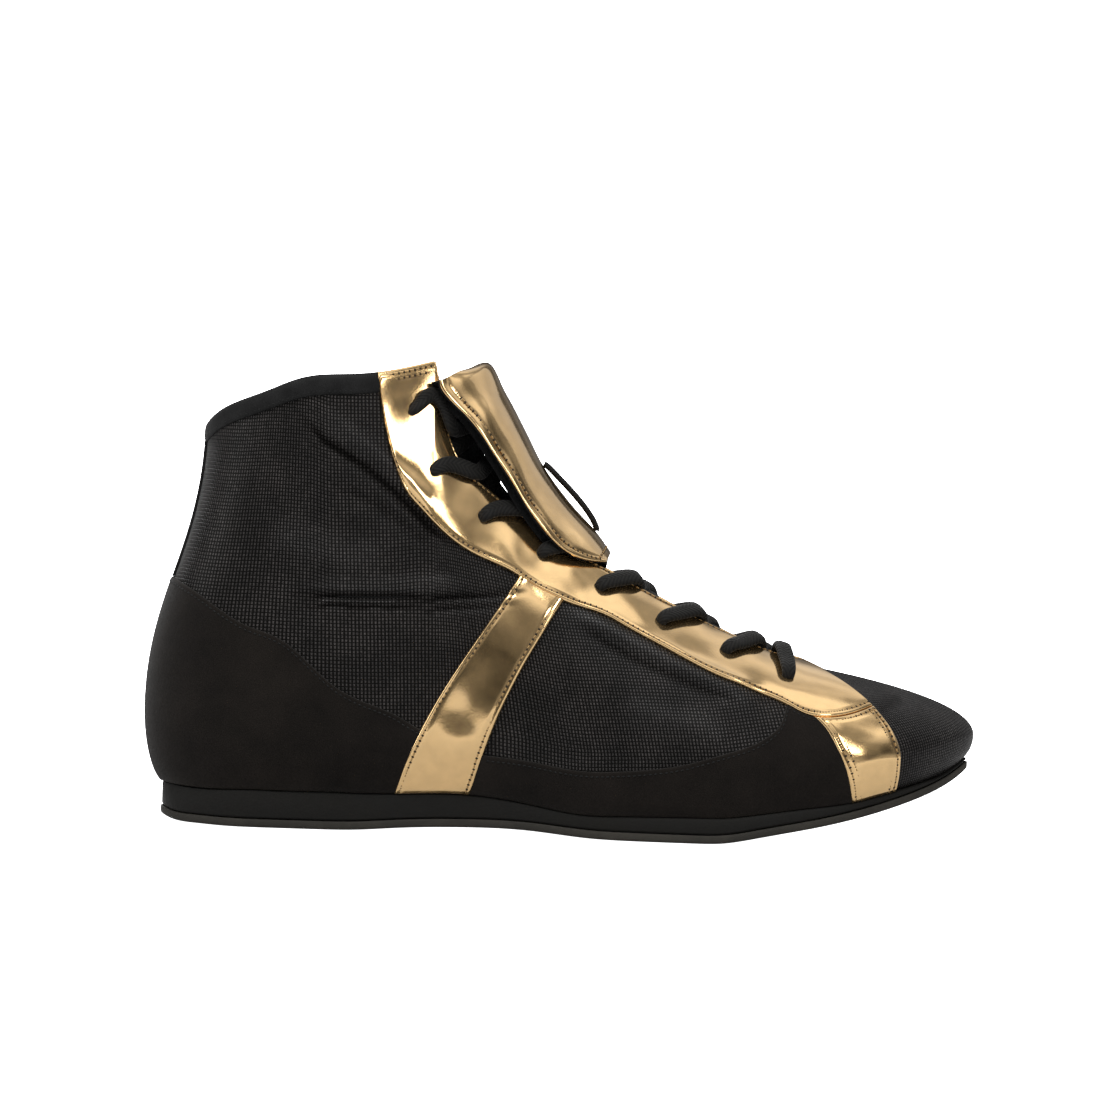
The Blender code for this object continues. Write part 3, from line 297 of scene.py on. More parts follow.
# Lights: name, place, target, width and height, share of the key light's power
LIGHTS = (
    ("key", (-0.15, -0.55, 1.20), (0.0, 0.0, 0.06), (0.8, 0.45), 1.1),
    ("front", (0.65, -1.1, 0.55), (0.05, 0.0, 0.05), (0.30, 0.45), 0.40),
    ("back", (-0.4, 0.9, 0.8), (0.0, 0.0, 0.08), (0.7, 0.5), 0.7),
    ("side", (-1.1, -0.35, 0.5), (0.0, 0.0, 0.08), (0.4, 0.6), 0.35),
    ("far", (1.0, 0.75, 0.70), (0.0, 0.0, 0.08), (0.8, 0.8), 0.13),
)
CAMERA_TARGET = (-0.0015, 0.0, 0.0935)


def smooth_curve(knots, values):
    """A function that runs smoothly through the values at rising knots."""
    knots = np.asarray(knots, float)
    values = np.asarray(values, float)
    steps = np.diff(knots)
    slopes = np.diff(values) / steps
    last = len(knots) - 1
    system = np.eye(last + 1)
    right = np.zeros(last + 1)
    for i in range(1, last):
        system[i, i - 1 : i + 2] = steps[i - 1], 2 * (steps[i - 1] + steps[i]), steps[i]
        right[i] = 6 * (slopes[i] - slopes[i - 1])
    bends = np.linalg.solve(system, right)

    def curve(at):
        at = np.clip(np.asarray(at, float), knots[0], knots[-1])
        i = np.clip(np.searchsorted(knots, at) - 1, 0, last - 1)
        a = (knots[i + 1] - at) / steps[i]
        b = 1 - a
        bend = (a**3 - a) * bends[i] + (b**3 - b) * bends[i + 1]
        return a * values[i] + b * values[i + 1] + bend * steps[i] ** 2 / 6

    return curve


def side_curve(table, along, across):
    """A smooth curve through a table of shares, scaled to real lengths."""
    places = [row[0] * along for row in table]
    values = [row[1] * across for row in table]
    return smooth_curve(places, values)


RIB = {name: np.array([row[i] for row in RIBS]) for i, name in enumerate(RIB_COLUMNS)}
LAST_ROW = len(RIBS) - 1
ROUND = 2 * LAST_ROW
WRAP = 6
CORNER_ROW = 5
COLLAR_END_ROW = 4
THROAT_ROWS = np.linspace(CORNER_ROW, LAST_ROW - 1, 400)

UNDERSIDE = smooth_curve([s[0] * LENGTH for s in SOLE_SECTIONS], [s[1] * TOE_SPRING for s in SOLE_SECTIONS])
THICKNESS = smooth_curve([s[0] * LENGTH for s in SOLE_SECTIONS], [s[2] * SOLE_HEIGHT for s in SOLE_SECTIONS])


def underside(x):
    """Height of the sole's underside, eased where it lifts off the floor."""
    height = UNDERSIDE(x)
    return np.maximum((height + np.sqrt(height**2 + 0.0007**2)) / 2 - 0.0002, 0)


def feather(x):
    """Height of the line where the upper meets the sole."""
    return underside(x) + THICKNESS(x)


def ring_places():
    """Where each rib stands along the girth, the mean of the two sides, from heel to toe and back."""
    steps = np.zeros(LAST_ROW)
    for side in ("lateral_girth", "medial_girth"):
        places = np.stack([RIB["girth_x"] * LENGTH, RIB[side] * BALL_WIDTH], axis=1)
        steps += np.linalg.norm(np.diff(places, axis=0), axis=1) / 2
    half = np.concatenate([[0], np.cumsum(steps)])
    return np.concatenate([half, 2 * half[-1] - half[-2:0:-1]]), 2 * half[-1]


def ring_values(lateral, medial):
    return np.concatenate([lateral, medial[-2:0:-1]])


PLACES, ROUND_LENGTH = ring_places()
TURNS = np.arange(-WRAP, ROUND + WRAP + 1)
TURN_PLACES = np.array([PLACES[k % ROUND] + (k // ROUND) * ROUND_LENGTH for k in TURNS])


def ring_curve(values):
    """A smooth closed curve through one value for each rib."""
    return smooth_curve(TURN_PLACES, [values[k % ROUND] for k in TURNS])


def top_curve(values):
    """The same with a sharp corner at the top of each eyestay."""
    back = range(-CORNER_ROW, CORNER_ROW + 1)
    front = range(CORNER_ROW, ROUND - CORNER_ROW + 1)
    back_curve = smooth_curve([TURN_PLACES[k + WRAP] for k in back], [values[k % ROUND] for k in back])
    front_curve = smooth_curve([TURN_PLACES[k + WRAP] for k in front], [values[k] for k in front])
    corner = TURN_PLACES[CORNER_ROW + WRAP]

    def curve(place):
        place = (np.asarray(place) + corner) % ROUND_LENGTH - corner
        return np.where(place <= corner, back_curve(place), front_curve(place))

    return curve


def rib_curves():
    curves = {}
    for name in ("foot_x", "girth_x", "girth_z", "lean", "rise", "reach", "draw", "lift"):
        curves[name] = ring_curve(ring_values(RIB[name], RIB[name]))
    for name in ("top_x", "top_z"):
        curves[name] = top_curve(ring_values(RIB[name], RIB[name]))
    for part, make in (("foot", ring_curve), ("girth", ring_curve), ("top", top_curve)):
        values = ring_values(-RIB["lateral_" + part], RIB["medial_" + part])
        curves[part + "_y"] = make(values)
    return curves


CURVES = rib_curves()


def turn(side, row):
    """Place on the ring of a row of one side: lateral rows count up from the heel, medial rows come back."""
    return np.asarray(row, float) if side == "lateral" else ROUND - np.asarray(row, float)


def bezier(start, first, second, end, t):
    t = t[..., None]
    s = 1 - t
    return s**3 * start + 3 * s**2 * t * first + 3 * s * t**2 * second + t**3 * end


def last(q, v):
    """Point of the last at ring place q, from the sole's edge at v = 0 to the top line at v = 1."""
    q, v = np.broadcast_arrays(np.asarray(q, float) % ROUND, np.asarray(v, float))
    place = np.interp(q, TURNS, TURN_PLACES)
    at = {name: curve(place) for name, curve in CURVES.items()}
    foot_x = at["foot_x"] * LENGTH
    foot = np.stack([foot_x, at["foot_y"] * BALL_WIDTH, feather(foot_x)], axis=-1)
    scale = np.array([LENGTH, BALL_WIDTH, COLLAR_HEIGHT])
    girth, top = (
        np.stack([at[part + axis] for axis in ("_x", "_y", "_z")], axis=-1) * scale
        for part in ("girth", "top")
    )
    out = girth - foot
    out_foot = out * np.array([FOOT_SPREAD, FOOT_SPREAD, FOOT_RISE])
    drop = out * np.array([0, 0, GIRTH_DROP])
    low = bezier(foot, foot + out_foot, girth - drop, girth, np.clip(v / GIRTH_SHARE, 0, 1))
    up = top - girth
    zero = np.zeros_like(at["lean"])
    first = girth + up * np.stack([at["lean"], zero, at["rise"]], axis=-1)
    second = girth + up * np.stack([at["reach"], at["draw"], at["lift"]], axis=-1)
    high = bezier(girth, first, second, top, np.clip((v - GIRTH_SHARE) / (1 - GIRTH_SHARE), 0, 1))
    return np.where((v < GIRTH_SHARE)[..., None], low, high)


def unit(vectors):
    return vectors / np.linalg.norm(vectors, axis=-1, keepdims=True)


def outward(q, v):
    """Direction away from the foot, level along the sole's edge so that overlays stand on it."""
    q, v = np.broadcast_arrays(np.asarray(q, float), np.asarray(v, float))
    low, high = np.clip(v - 0.01, 0, 1), np.clip(v + 0.01, 0, 1)
    normal = unit(np.cross(last(q + 0.05, v) - last(q - 0.05, v), last(q, high) - last(q, low)))
    flat = np.clip(v / 0.12, 0, 1)
    normal[..., 2] *= flat * flat * (3 - 2 * flat)
    return unit(normal)


def rib_samples(q):
    v = np.linspace(0, 1, 121)
    q = np.asarray(q, float)[..., None]
    return v, last(q, v)


def tabled(function, low, high, count):
    """The same function read from evenly spaced values, for use on many points."""
    at = np.linspace(low, high, count)
    values = function(at)
    return lambda place: np.interp(place, at, values)


def crossing(levels, values, last_one):
    """The level at which values change sign along their last axis, by straight steps, and whether they do."""
    change = np.diff(np.sign(values), axis=-1) != 0
    i = np.argmax(change, axis=-1)
    if last_one:
        i = change.shape[-1] - 1 - np.argmax(change[..., ::-1], axis=-1)
    found = change.any(axis=-1)
    before = np.take_along_axis(values, i[..., None], -1)[..., 0]
    after = np.take_along_axis(values, i[..., None] + 1, -1)[..., 0]
    share = before / np.where(found, before - after, 1)
    return levels[i] + (levels[i + 1] - levels[i]) * share, found


def below_top(q, distance):
    """Height on a rib at a distance below the top line."""
    v, points = rib_samples(q)
    steps = np.linalg.norm(np.diff(points, axis=-2), axis=-1)
    left = steps.sum(axis=-1, keepdims=True) - np.cumsum(steps, axis=-1)
    left = np.concatenate([steps.sum(axis=-1, keepdims=True), left], axis=-1)
    level, found = crossing(v, left - distance, True)
    return np.where(found, level, 1.0)


def under_edge(edge):
    """For an edge given as height over x: the v at which a rib crosses it, highest crossing first."""

    def height(q):
        v, points = rib_samples(q)
        above = points[..., 2] - edge(points[..., 0])
        level, found = crossing(v, above, True)
        return np.where(found, level, np.where(above[..., -1] < 0, 1.0, 0.0))

    return height


def along_edge(edge, side, lowest, highest):
    """For an edge given as x over height: the row at which it is met at each v."""
    rows = np.linspace(lowest, highest, 81)

    def row(v):
        v = np.asarray(v, float)[..., None]
        points = last(turn(side, rows), v)
        ahead = points[..., 0] - edge(points[..., 2])
        met, found = crossing(rows, ahead, False)
        return np.where(found, met, np.where(ahead[..., 0] > 0, lowest, highest))

    return tabled(row, 0.0, 1.0, 401)


def edge_gap(q, v, gap):
    """The v that lies a gap below v on a rib."""
    ahead = last(q, v) - last(q, np.clip(v - 0.02, 0, 1))
    return v - gap * 0.02 / np.maximum(np.linalg.norm(ahead, axis=-1), 1e-6)


COUNTER_TOP, MUDGUARD_TOP, FACING_FOOT = (
    tabled(under_edge(side_curve(edge, LENGTH, COLLAR_HEIGHT)), -WRAP, ROUND + WRAP, 2017)
    for edge in (COUNTER_EDGE, MUDGUARD_EDGE, FACING_EDGE)
)
STRAP_BACK = side_curve(STRAP_BACK_EDGE, COLLAR_HEIGHT, LENGTH)
STRAP_FRONT = side_curve(STRAP_FRONT_EDGE, COLLAR_HEIGHT, LENGTH)
BAND_BACK = side_curve(BAND_BACK_EDGE, COLLAR_HEIGHT, LENGTH)


def moved(row, shift):
    return lambda at: row(at) + shift


def steady(value):
    return lambda at: np.full(np.shape(at), value)


def locate_eyelets(side):
    """Ring place and height of each eyelet, from where the side view shows it."""
    rows, heights = np.meshgrid(np.linspace(4.0, 13.0, 361), np.linspace(0.4, 1.0, 241), indexing="ij")
    points = last(turn(side, rows), heights)
    found = []
    for x, z in EYELETS:
        off = np.hypot(points[..., 0] - x * LENGTH, points[..., 2] - z * COLLAR_HEIGHT)
        i, k = np.unravel_index(np.argmin(off), off.shape)
        found.append((float(turn(side, rows[i, k])), float(heights[i, k])))
    return found


EYELET_PLACES = {side: locate_eyelets(side) for side in ("lateral", "medial")}


def throat_frame(row):
    """Middle of the throat at a row, its half width, and the directions across, along and outwards."""
    lateral = last(turn("lateral", row), 1.0)
    medial = last(turn("medial", row), 1.0)
    before, after = max(row - 0.15, CORNER_ROW + 0.001), row + 0.15
    ahead = [last(turn(side, after), 1.0) - last(turn(side, before), 1.0) for side in ("lateral", "medial")]
    across = unit(medial - lateral)
    along = ahead[0] + ahead[1]
    along = unit(along - across * np.dot(along, across))
    half = np.linalg.norm(medial - lateral) / 2
    return (lateral + medial) / 2, half, across, along, np.cross(along, across)


def eyestay_slope(row, across, out):
    """How steeply the eyestay falls away at the throat's edge, in the plane across the throat."""
    normal = outward(turn("lateral", row), 0.985)
    return math.atan2(-np.dot(normal, across), np.dot(normal, out))


def tongue_profile(row, crown_slope, sink=0.0, steps=4, tucks=2):
    """Half profile across the tongue, from crown to tucked edge: offsets across and outwards, and slope."""
    _, half, across, _, out = throat_frame(row)
    slope = max(eyestay_slope(row, across, out), math.radians(crown_slope))
    fine = 60
    lengths = np.linspace(0, half * 1.25, fine)
    share = np.clip(lengths / (0.8 * half), 0, 1)
    turning = np.clip((lengths - 0.8 * half) / (0.25 * half), 0, 1)
    slopes = math.radians(crown_slope) * share + (slope - math.radians(crown_slope)) * turning
    step = lengths[1]
    x = np.concatenate([[0], np.cumsum(np.cos((slopes[1:] + slopes[:-1]) / 2) * step)])
    y = np.concatenate([[0], np.cumsum(-np.sin((slopes[1:] + slopes[:-1]) / 2) * step)])
    reach = np.interp(half, x, lengths)
    y = y - np.interp(reach, lengths, y)
    stations = np.linspace(0, reach, steps + 1)
    across_at = list(np.interp(stations, lengths, x))
    out_at = list(np.interp(stations, lengths, y))
    slope_at = list(np.interp(stations, lengths, slopes))
    slope_at[-1] = slope
    for _ in range(tucks):
        tuck = TONGUE_TUCK / tucks
        bend = slope_at[-1] + tuck / TONGUE_TUCK_RADIUS / 2
        across_at.append(across_at[-1] + math.cos(bend) * tuck)
        out_at.append(out_at[-1] - math.sin(bend) * tuck)
        slope_at.append(slope_at[-1] + tuck / TONGUE_TUCK_RADIUS)
    return np.array(across_at), np.array(out_at) - sink, np.array(slope_at)


def tongue_depth():
    """How far under the last's surface the tongue's face lies."""
    return WALL + TONGUE_EASE


def tongue_section(row, crown_slope, depth, extension=0.0, sink=0.0, steps=4, tucks=2):
    """A row of points across the tongue from lateral to medial, at a depth under the line of the eyestays."""
    middle, _, across, along, out = throat_frame(row)
    side, up, slope = tongue_profile(row, crown_slope, sink, steps, tucks)
    side = side - np.sin(slope) * depth
    up = up - np.cos(slope) * depth
    side = np.concatenate([-side[:0:-1], side])
    up = np.concatenate([up[:0:-1], up])
    return middle + along * extension + side[:, None] * across + up[:, None] * out


FLAP_COLUMNS = [
    smooth_curve(range(len(FLAP_ROWS)), [row[i] * size for row in FLAP_ROWS])
    for i, size in enumerate((LENGTH, COLLAR_HEIGHT, LENGTH, COLLAR_HEIGHT, BALL_WIDTH))
]


def flap(a, b):
    """Outer face of the folded flap: a counts rows from the fold to the tip, b runs from -1 to 1 across."""
    a, b = np.broadcast_arrays(np.asarray(a, float), np.asarray(b, float))
    crest_x, crest_z, edge_x, edge_z, half = (curve(a) for curve in FLAP_COLUMNS)
    angle = b * FLAP_WRAP
    drop = (1 - np.cos(angle)) / (1 - math.cos(FLAP_WRAP))
    side = np.sin(angle) / math.sin(FLAP_WRAP)
    return np.stack(
        [crest_x + (edge_x - crest_x) * drop, side * half, crest_z + (edge_z - crest_z) * drop], axis=-1
    )


def flap_outward(a, b):
    tip = len(FLAP_ROWS) - 1
    along = flap(np.clip(a + 0.05, 0, tip), b) - flap(np.clip(a - 0.05, 0, tip), b)
    across = flap(a, np.clip(b + 0.02, -1, 1)) - flap(a, np.clip(b - 0.02, -1, 1))
    return unit(np.cross(along, across))


def edge_row(q, v):
    """The row at which the throat's edge comes nearest to an eyelet."""
    side = "lateral" if q < LAST_ROW else "medial"
    edge = last(turn(side, THROAT_ROWS), np.ones(THROAT_ROWS.shape))
    return THROAT_ROWS[np.argmin(np.linalg.norm(edge - last(q, v), axis=1))]


CROWN_SLOPE = smooth_curve([row for row, _ in TONGUE_ROWS], [slope for _, slope in TONGUE_ROWS])


def over_tongue(row, share, lift):
    """A point above the tongue at a share of the half width, and the direction out of the tongue there."""
    middle, half, across, _, out = throat_frame(row)
    side, up, slope = tongue_profile(row, float(CROWN_SLOPE(row)))
    place = abs(share) * half
    height = np.interp(place, side, up)
    tilt = np.interp(place, side, slope) * np.sign(share)
    normal = out * math.cos(tilt) + across * math.sin(tilt)
    return middle + across * (share * half) + out * height + normal * (lift - tongue_depth()), normal


def length_property(name, description, value):
    return bpy.props.FloatProperty(
        name=name, description=description, default=value, unit="LENGTH", precision=4
    )


def color_property(name, description, value):
    return bpy.props.FloatVectorProperty(
        name=name, description=description, default=value, size=3, min=0, max=1, subtype="COLOR"
    )


def count_property(name, description, value, lowest):
    return bpy.props.IntProperty(name=name, description=description, default=value, min=lowest)


class ShoeSizes(bpy.types.PropertyGroup):
    """Sizes of the visible pieces."""

    ring_points: count_property("Ring points", "Points round the shoe", 440, 96)
    rib_points: count_property("Rib points", "Points from sole to top line", 104, 24)
    shell: length_property("Shell", "Outer part of the wall", 0.0012)
    suede: length_property("Suede", "Height of the suede panels", 0.0012)
    patent: length_property("Patent", "Height of the gold panels", 0.0017)
    stitch_pitch: length_property("Stitch pitch", "Distance from stitch to stitch", 0.0020)
    stitch_length: length_property("Stitch length", "Visible length of a stitch", 0.00135)
    stitch_width: length_property("Stitch width", "Thickness of the thread", 0.0006)
    seam_inset: length_property("Seam inset", "From a panel's edge to its seam", 0.0017)
    eyelet: length_property("Eyelet", "Width of a punched hole", 0.0044)
    lace_width: length_property("Lace width", "Width of the flat lace", 0.0058)
    lace_thickness: length_property("Lace thickness", "Thickness of the lace", 0.0029)


class ShoeColors(bpy.types.PropertyGroup):
    """Colours of the finishes, in linear light."""

    mesh: color_property("Mesh", "Threads of the mesh", (0.0030, 0.0026, 0.0022))
    mesh_dots: color_property("Mesh dots", "Light crossings of the mesh", (0.052, 0.046, 0.044))
    suede: color_property("Suede", "Nap of the suede", (0.0066, 0.0052, 0.0042))
    gold: color_property("Gold", "Patent leather", (0.70, 0.470, 0.220))
    gold_thread: color_property("Gold thread", "Seams of the gold panels", (0.34, 0.215, 0.09))
    black: color_property("Black", "Edging, lining and webbing", (0.0050, 0.0050, 0.0050))
    lace: color_property("Lace", "Woven lace", (0.0052, 0.0048, 0.0040))
    sole: color_property("Side wall", "Rubber side wall", (0.0040, 0.0037, 0.0029))
    outsole: color_property("Outsole", "Lower rubber layer", (0.0220, 0.0200, 0.0165))


def angle_property(name, description, degrees):
    return bpy.props.FloatProperty(
        name=name, description=description, default=math.radians(degrees), subtype="ANGLE"
    )


class ShoeStudio(bpy.types.PropertyGroup):
    """Camera and light."""

    elevation: angle_property("Elevation", "Height angle of the camera", 0.8)
    roll: angle_property("Roll", "Turn of the camera about its view", 1.85)
    distance: length_property("Distance", "Camera to shoe", 3.0)
    lens: bpy.props.FloatProperty(name="Lens", description="Focal length in millimetres", default=282.0)
    key: bpy.props.FloatProperty(name="Key light", description="Power of the large soft light", default=9.0)


def sizes():
    return bpy.context.scene.shoe_sizes


def colors():
    return bpy.context.scene.shoe_colors


def frame_shift():
    """From the last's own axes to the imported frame, read off the outsole."""
    q = np.linspace(0, ROUND, 721)[:-1]
    outline = foot_outline(q, WELT + OUTSOLE_STEP)
    low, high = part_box("outsole")
    middle = (outline.min(axis=0) + outline.max(axis=0)) / 2
    return np.array([(low.x + high.x) / 2 - middle[0], (low.y + high.y) / 2 - middle[1], low.z])


def foot_outline(q, offset):
    """The sole's edge in plan, moved outwards."""
    level = np.zeros(np.shape(q))
    ahead = last(q + 0.05, level) - last(q - 0.05, level)
    normal = unit(np.stack([ahead[:, 1], -ahead[:, 0]], axis=-1))
    return last(q, level)[:, :2] + normal * np.broadcast_to(offset, np.shape(q))[:, None]


SHIFT = frame_shift()


def smooth_step(value):
    value = np.clip(value, 0, 1)
    return value * value * (3 - 2 * value)


def from_line(x, z, line):
    """Distance on the side view from a bent line, and how far along it the nearest point is, from 0 to 1."""
    line = np.array(line)
    best = np.full(x.shape, 1.0)
    along = np.zeros(x.shape)
    steps = len(line) - 1
    for i in range(steps):
        start, step = line[i], line[i + 1] - line[i]
        share = np.clip(((x - start[0]) * step[0] + (z - start[1]) * step[1]) / (step @ step), 0, 1)
        off = np.hypot(x - start[0] - share * step[0], z - start[1] - share * step[1])
        nearer = off < best
        best = np.where(nearer, off, best)
        along = np.where(nearer, (i + share) / steps, along)
    return best, along


def relief(points):
    """Height of the creases over the last, soft at their ends, a little weaker on the medial side."""
    x, y, z = points[..., 0], points[..., 1], points[..., 2]
    lift = np.zeros(x.shape)
    for width, height, line in CREASES:
        off, along = from_line(x, z, line)
        ends = smooth_step(along / 0.22) * smooth_step((1 - along) / 0.22)
        lift += CREASE_SCALE * height * np.exp(-((off / width) ** 2)) * ends
    sides = np.where(y < 0, 1.0, 0.7) * smooth_step(np.abs(y) / 0.010 - 0.4)
    return lift * sides


def surface(q, v, depth):
    """The last's surface with its creases, moved outwards by depth."""
    points = last(q, v)
    fade = smooth_step((1 - v) / 0.06)
    return points + outward(q, v) * (relief(points) * fade + depth)[..., None]


def ring_stops(count):
    """Ring places of a fine ring with a stop at each corner of the top line."""
    corners = [0, COLLAR_END_ROW, COLLAR_END_ROW + 0.06, CORNER_ROW, LAST_ROW]
    half = []
    for low, high in zip(corners, corners[1:]):
        steps = max(2, round(count / 2 * (high - low) / LAST_ROW))
        half += list(np.linspace(low, high, steps, endpoint=False))
    half = np.array(half)
    return np.concatenate([half, [LAST_ROW], ROUND - half[:0:-1]])


def edge_steps(count):
    """Steps from 0 to 1 that lie closer together near both ends."""
    t = np.linspace(0, 1, count)
    return t - 0.85 * np.sin(2 * math.pi * t) / (2 * math.pi)


def lengths_along(points, axis):
    """Distances along one axis of a grid of points, from its start."""
    steps = np.linalg.norm(np.diff(points, axis=axis), axis=-1)
    zero = np.zeros_like(np.take(steps, [0], axis=axis))
    return np.concatenate([zero, np.cumsum(steps, axis=axis)], axis=axis)


def along_line(at, lengths, points):
    """Points at given lengths along a line."""
    return np.stack([np.interp(at, lengths, points[:, i]) for i in range(points.shape[1])], axis=1)


def grid_uv(points):
    """Distances along both directions of a grid, for its two faces."""
    pairs = np.stack([lengths_along(points, 0), lengths_along(points, 1)], axis=-1)
    return np.concatenate([pairs.reshape(-1, 2)] * 2)


def rounding(distance, radius):
    """Share of full height at a distance from a rounded edge."""
    return np.sqrt(1 - (1 - np.clip(distance / radius, 0, 1)) ** 2)


def edge_distances(points):
    """Distances from a grid's four edges: first and last column, first and last row."""
    across, up = lengths_along(points, 0), lengths_along(points, 1)
    return across, across[-1:] - across, up, up[:, -1:] - up


def grid_faces(columns, rows, start, closed, flip):
    i, k = np.meshgrid(np.arange(columns if closed else columns - 1), np.arange(rows - 1), indexing="ij")
    i, k = i.ravel(), k.ravel()
    j = (i + 1) % columns
    faces = start + np.stack([i * rows + k, j * rows + k, j * rows + k + 1, i * rows + k + 1], axis=1)
    return faces[:, ::-1] if flip else faces


def wall(outer, inner, closed=False):
    """Points and faces of a shell between two grids, whose columns run along the ring and rows go up."""
    columns, rows = outer.shape[:2]
    count = columns * rows
    edges = []
    for i in range(columns if closed else columns - 1):
        j = (i + 1) % columns
        edges.append((i * rows, j * rows))
        edges.append((j * rows + rows - 1, i * rows + rows - 1))
    if not closed:
        end = (columns - 1) * rows
        for k in range(rows - 1):
            edges.append((end + k, end + k + 1))
            edges.append((k + 1, k))
    rim = np.array([(b, a, a + count, b + count) for a, b in edges])
    outside = grid_faces(columns, rows, 0, closed, False)
    inside = grid_faces(columns, rows, count, closed, True)
    return np.concatenate([outer.reshape(-1, 3), inner.reshape(-1, 3)]), [*outside, *inside, *rim]


def tube(rings):
    """Points and faces of a solid through a row of closed rings with flat ends."""
    count, corners = rings.shape[:2]
    faces = []
    for i in range(count - 1):
        for k in range(corners):
            j = (k + 1) % corners
            faces.append((i * corners + k, i * corners + j, (i + 1) * corners + j, (i + 1) * corners + k))
    faces.append(tuple(range(corners))[::-1])
    faces.append(tuple((count - 1) * corners + k for k in range(corners)))
    return rings.reshape(-1, 3), faces


def new_mesh(name, points, faces, uv=None, folds=None):
    """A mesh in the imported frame, its faces turned outwards.

    uv holds one pair in metres for each point, folds the height of the creases there.
    """
    mesh = bpy.data.meshes.new(name)
    polygons = [tuple(int(i) for i in face) for face in faces]
    mesh.from_pydata((np.asarray(points) + SHIFT).tolist(), [], polygons)
    corners = np.zeros(len(mesh.loops), dtype=np.int32)
    mesh.loops.foreach_get("vertex_index", corners)
    if folds is not None:
        folds = np.stack([folds, folds], axis=-1)
    for title, values in (("weave", uv), ("folds", folds)):
        if values is not None:
            layer = mesh.uv_layers.new(name=title)
            layer.data.foreach_set("uv", np.asarray(values)[corners].astype(np.float32).ravel())
    cleaned = bmesh.new()
    cleaned.from_mesh(mesh)
    bmesh.ops.recalc_face_normals(cleaned, faces=cleaned.faces)
    cleaned.to_mesh(mesh)
    cleaned.free()
    return mesh


def new_object(name, data):
    """An object in the scene."""
    obj = bpy.data.objects.new(name, data)
    bpy.context.scene.collection.objects.link(obj)
    return obj


def piece(name, mesh, finish, nodes=(), sharp=50):
    """A visible piece: its mesh, its finish's name and the solids it stands for."""
    mesh.materials.clear()
    mesh.materials.append(finish_of(finish))
    mesh.shade_smooth()
    mesh.set_sharp_from_angle(angle=math.radians(sharp))
    obj = new_object(name, mesh)
    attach(obj, "root")
    if nodes:
        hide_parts(*nodes)
    return obj


def add_node(tree, kind, values=(), **settings):
    """A node with its settings, and in each socket a value or a link from another node's socket."""
    node = tree.nodes.new(kind)
    for key, value in settings.items():
        setattr(node, key, value)
    for socket, value in dict(values).items():
        if isinstance(value, bpy.types.NodeSocket):
            tree.links.new(value, node.inputs[socket])
        else:
            node.inputs[socket].default_value = value
    return node


class Recipe:
    """A material's nodes, added one by one and joined by name."""

    def __init__(self, name, color, roughness, **sockets):
        self.material = bpy.data.materials.new(name)
        self.material.use_nodes = True
        self.tree = self.material.node_tree
        self.shader = self.tree.nodes["Principled BSDF"]
        self.shader.inputs["Base Color"].default_value = (*color, 1)
        self.shader.inputs["Roughness"].default_value = roughness
        for socket, value in sockets.items():
            self.shader.inputs[socket.replace("_", " ")].default_value = value

    def put(self, kind, values=(), **settings):
        return add_node(self.tree, "ShaderNode" + kind, values, **settings)

    def math(self, operation, *values):
        return self.put("Math", dict(enumerate(values)), operation=operation).outputs[0]

    def object_place(self):
        return self.put("TexCoord").outputs["Object"]

    def uv_place(self, name):
        return self.put("UVMap", uv_map=name).outputs[0]

    def noise(self, place, scale, detail=2.0, rough=0.5):
        values = {"Vector": place, "Scale": scale, "Detail": detail, "Roughness": rough}
        return self.put("TexNoise", values).outputs["Fac"]

    def spread(self, value, low, high, start, end):
        values = {"Value": value, "From Min": low, "From Max": high, "To Min": start, "To Max": end}
        return self.put("MapRange", values).outputs["Result"]

    def blend(self, share, first, second):
        first, second = (
            value if isinstance(value, bpy.types.NodeSocket) else (*value, 1) for value in (first, second)
        )
        return self.put("Mix", {0: share, 6: first, 7: second}, data_type="RGBA").outputs[2]

    def relief(self, height, distance, strength=1.0, under=None):
        values = {"Height": height, "Distance": distance, "Strength": strength}
        if under is not None:
            values["Normal"] = under
        return self.put("Bump", values).outputs["Normal"]

    def done(self, color=None, roughness=None, normal=None):
        for socket, value in (("Base Color", color), ("Roughness", roughness), ("Normal", normal)):
            if value is not None:
                self.tree.links.new(value, self.shader.inputs[socket])
        return self.material


def shade(color, factor):
    return tuple(min(1.0, channel * factor) for channel in color)


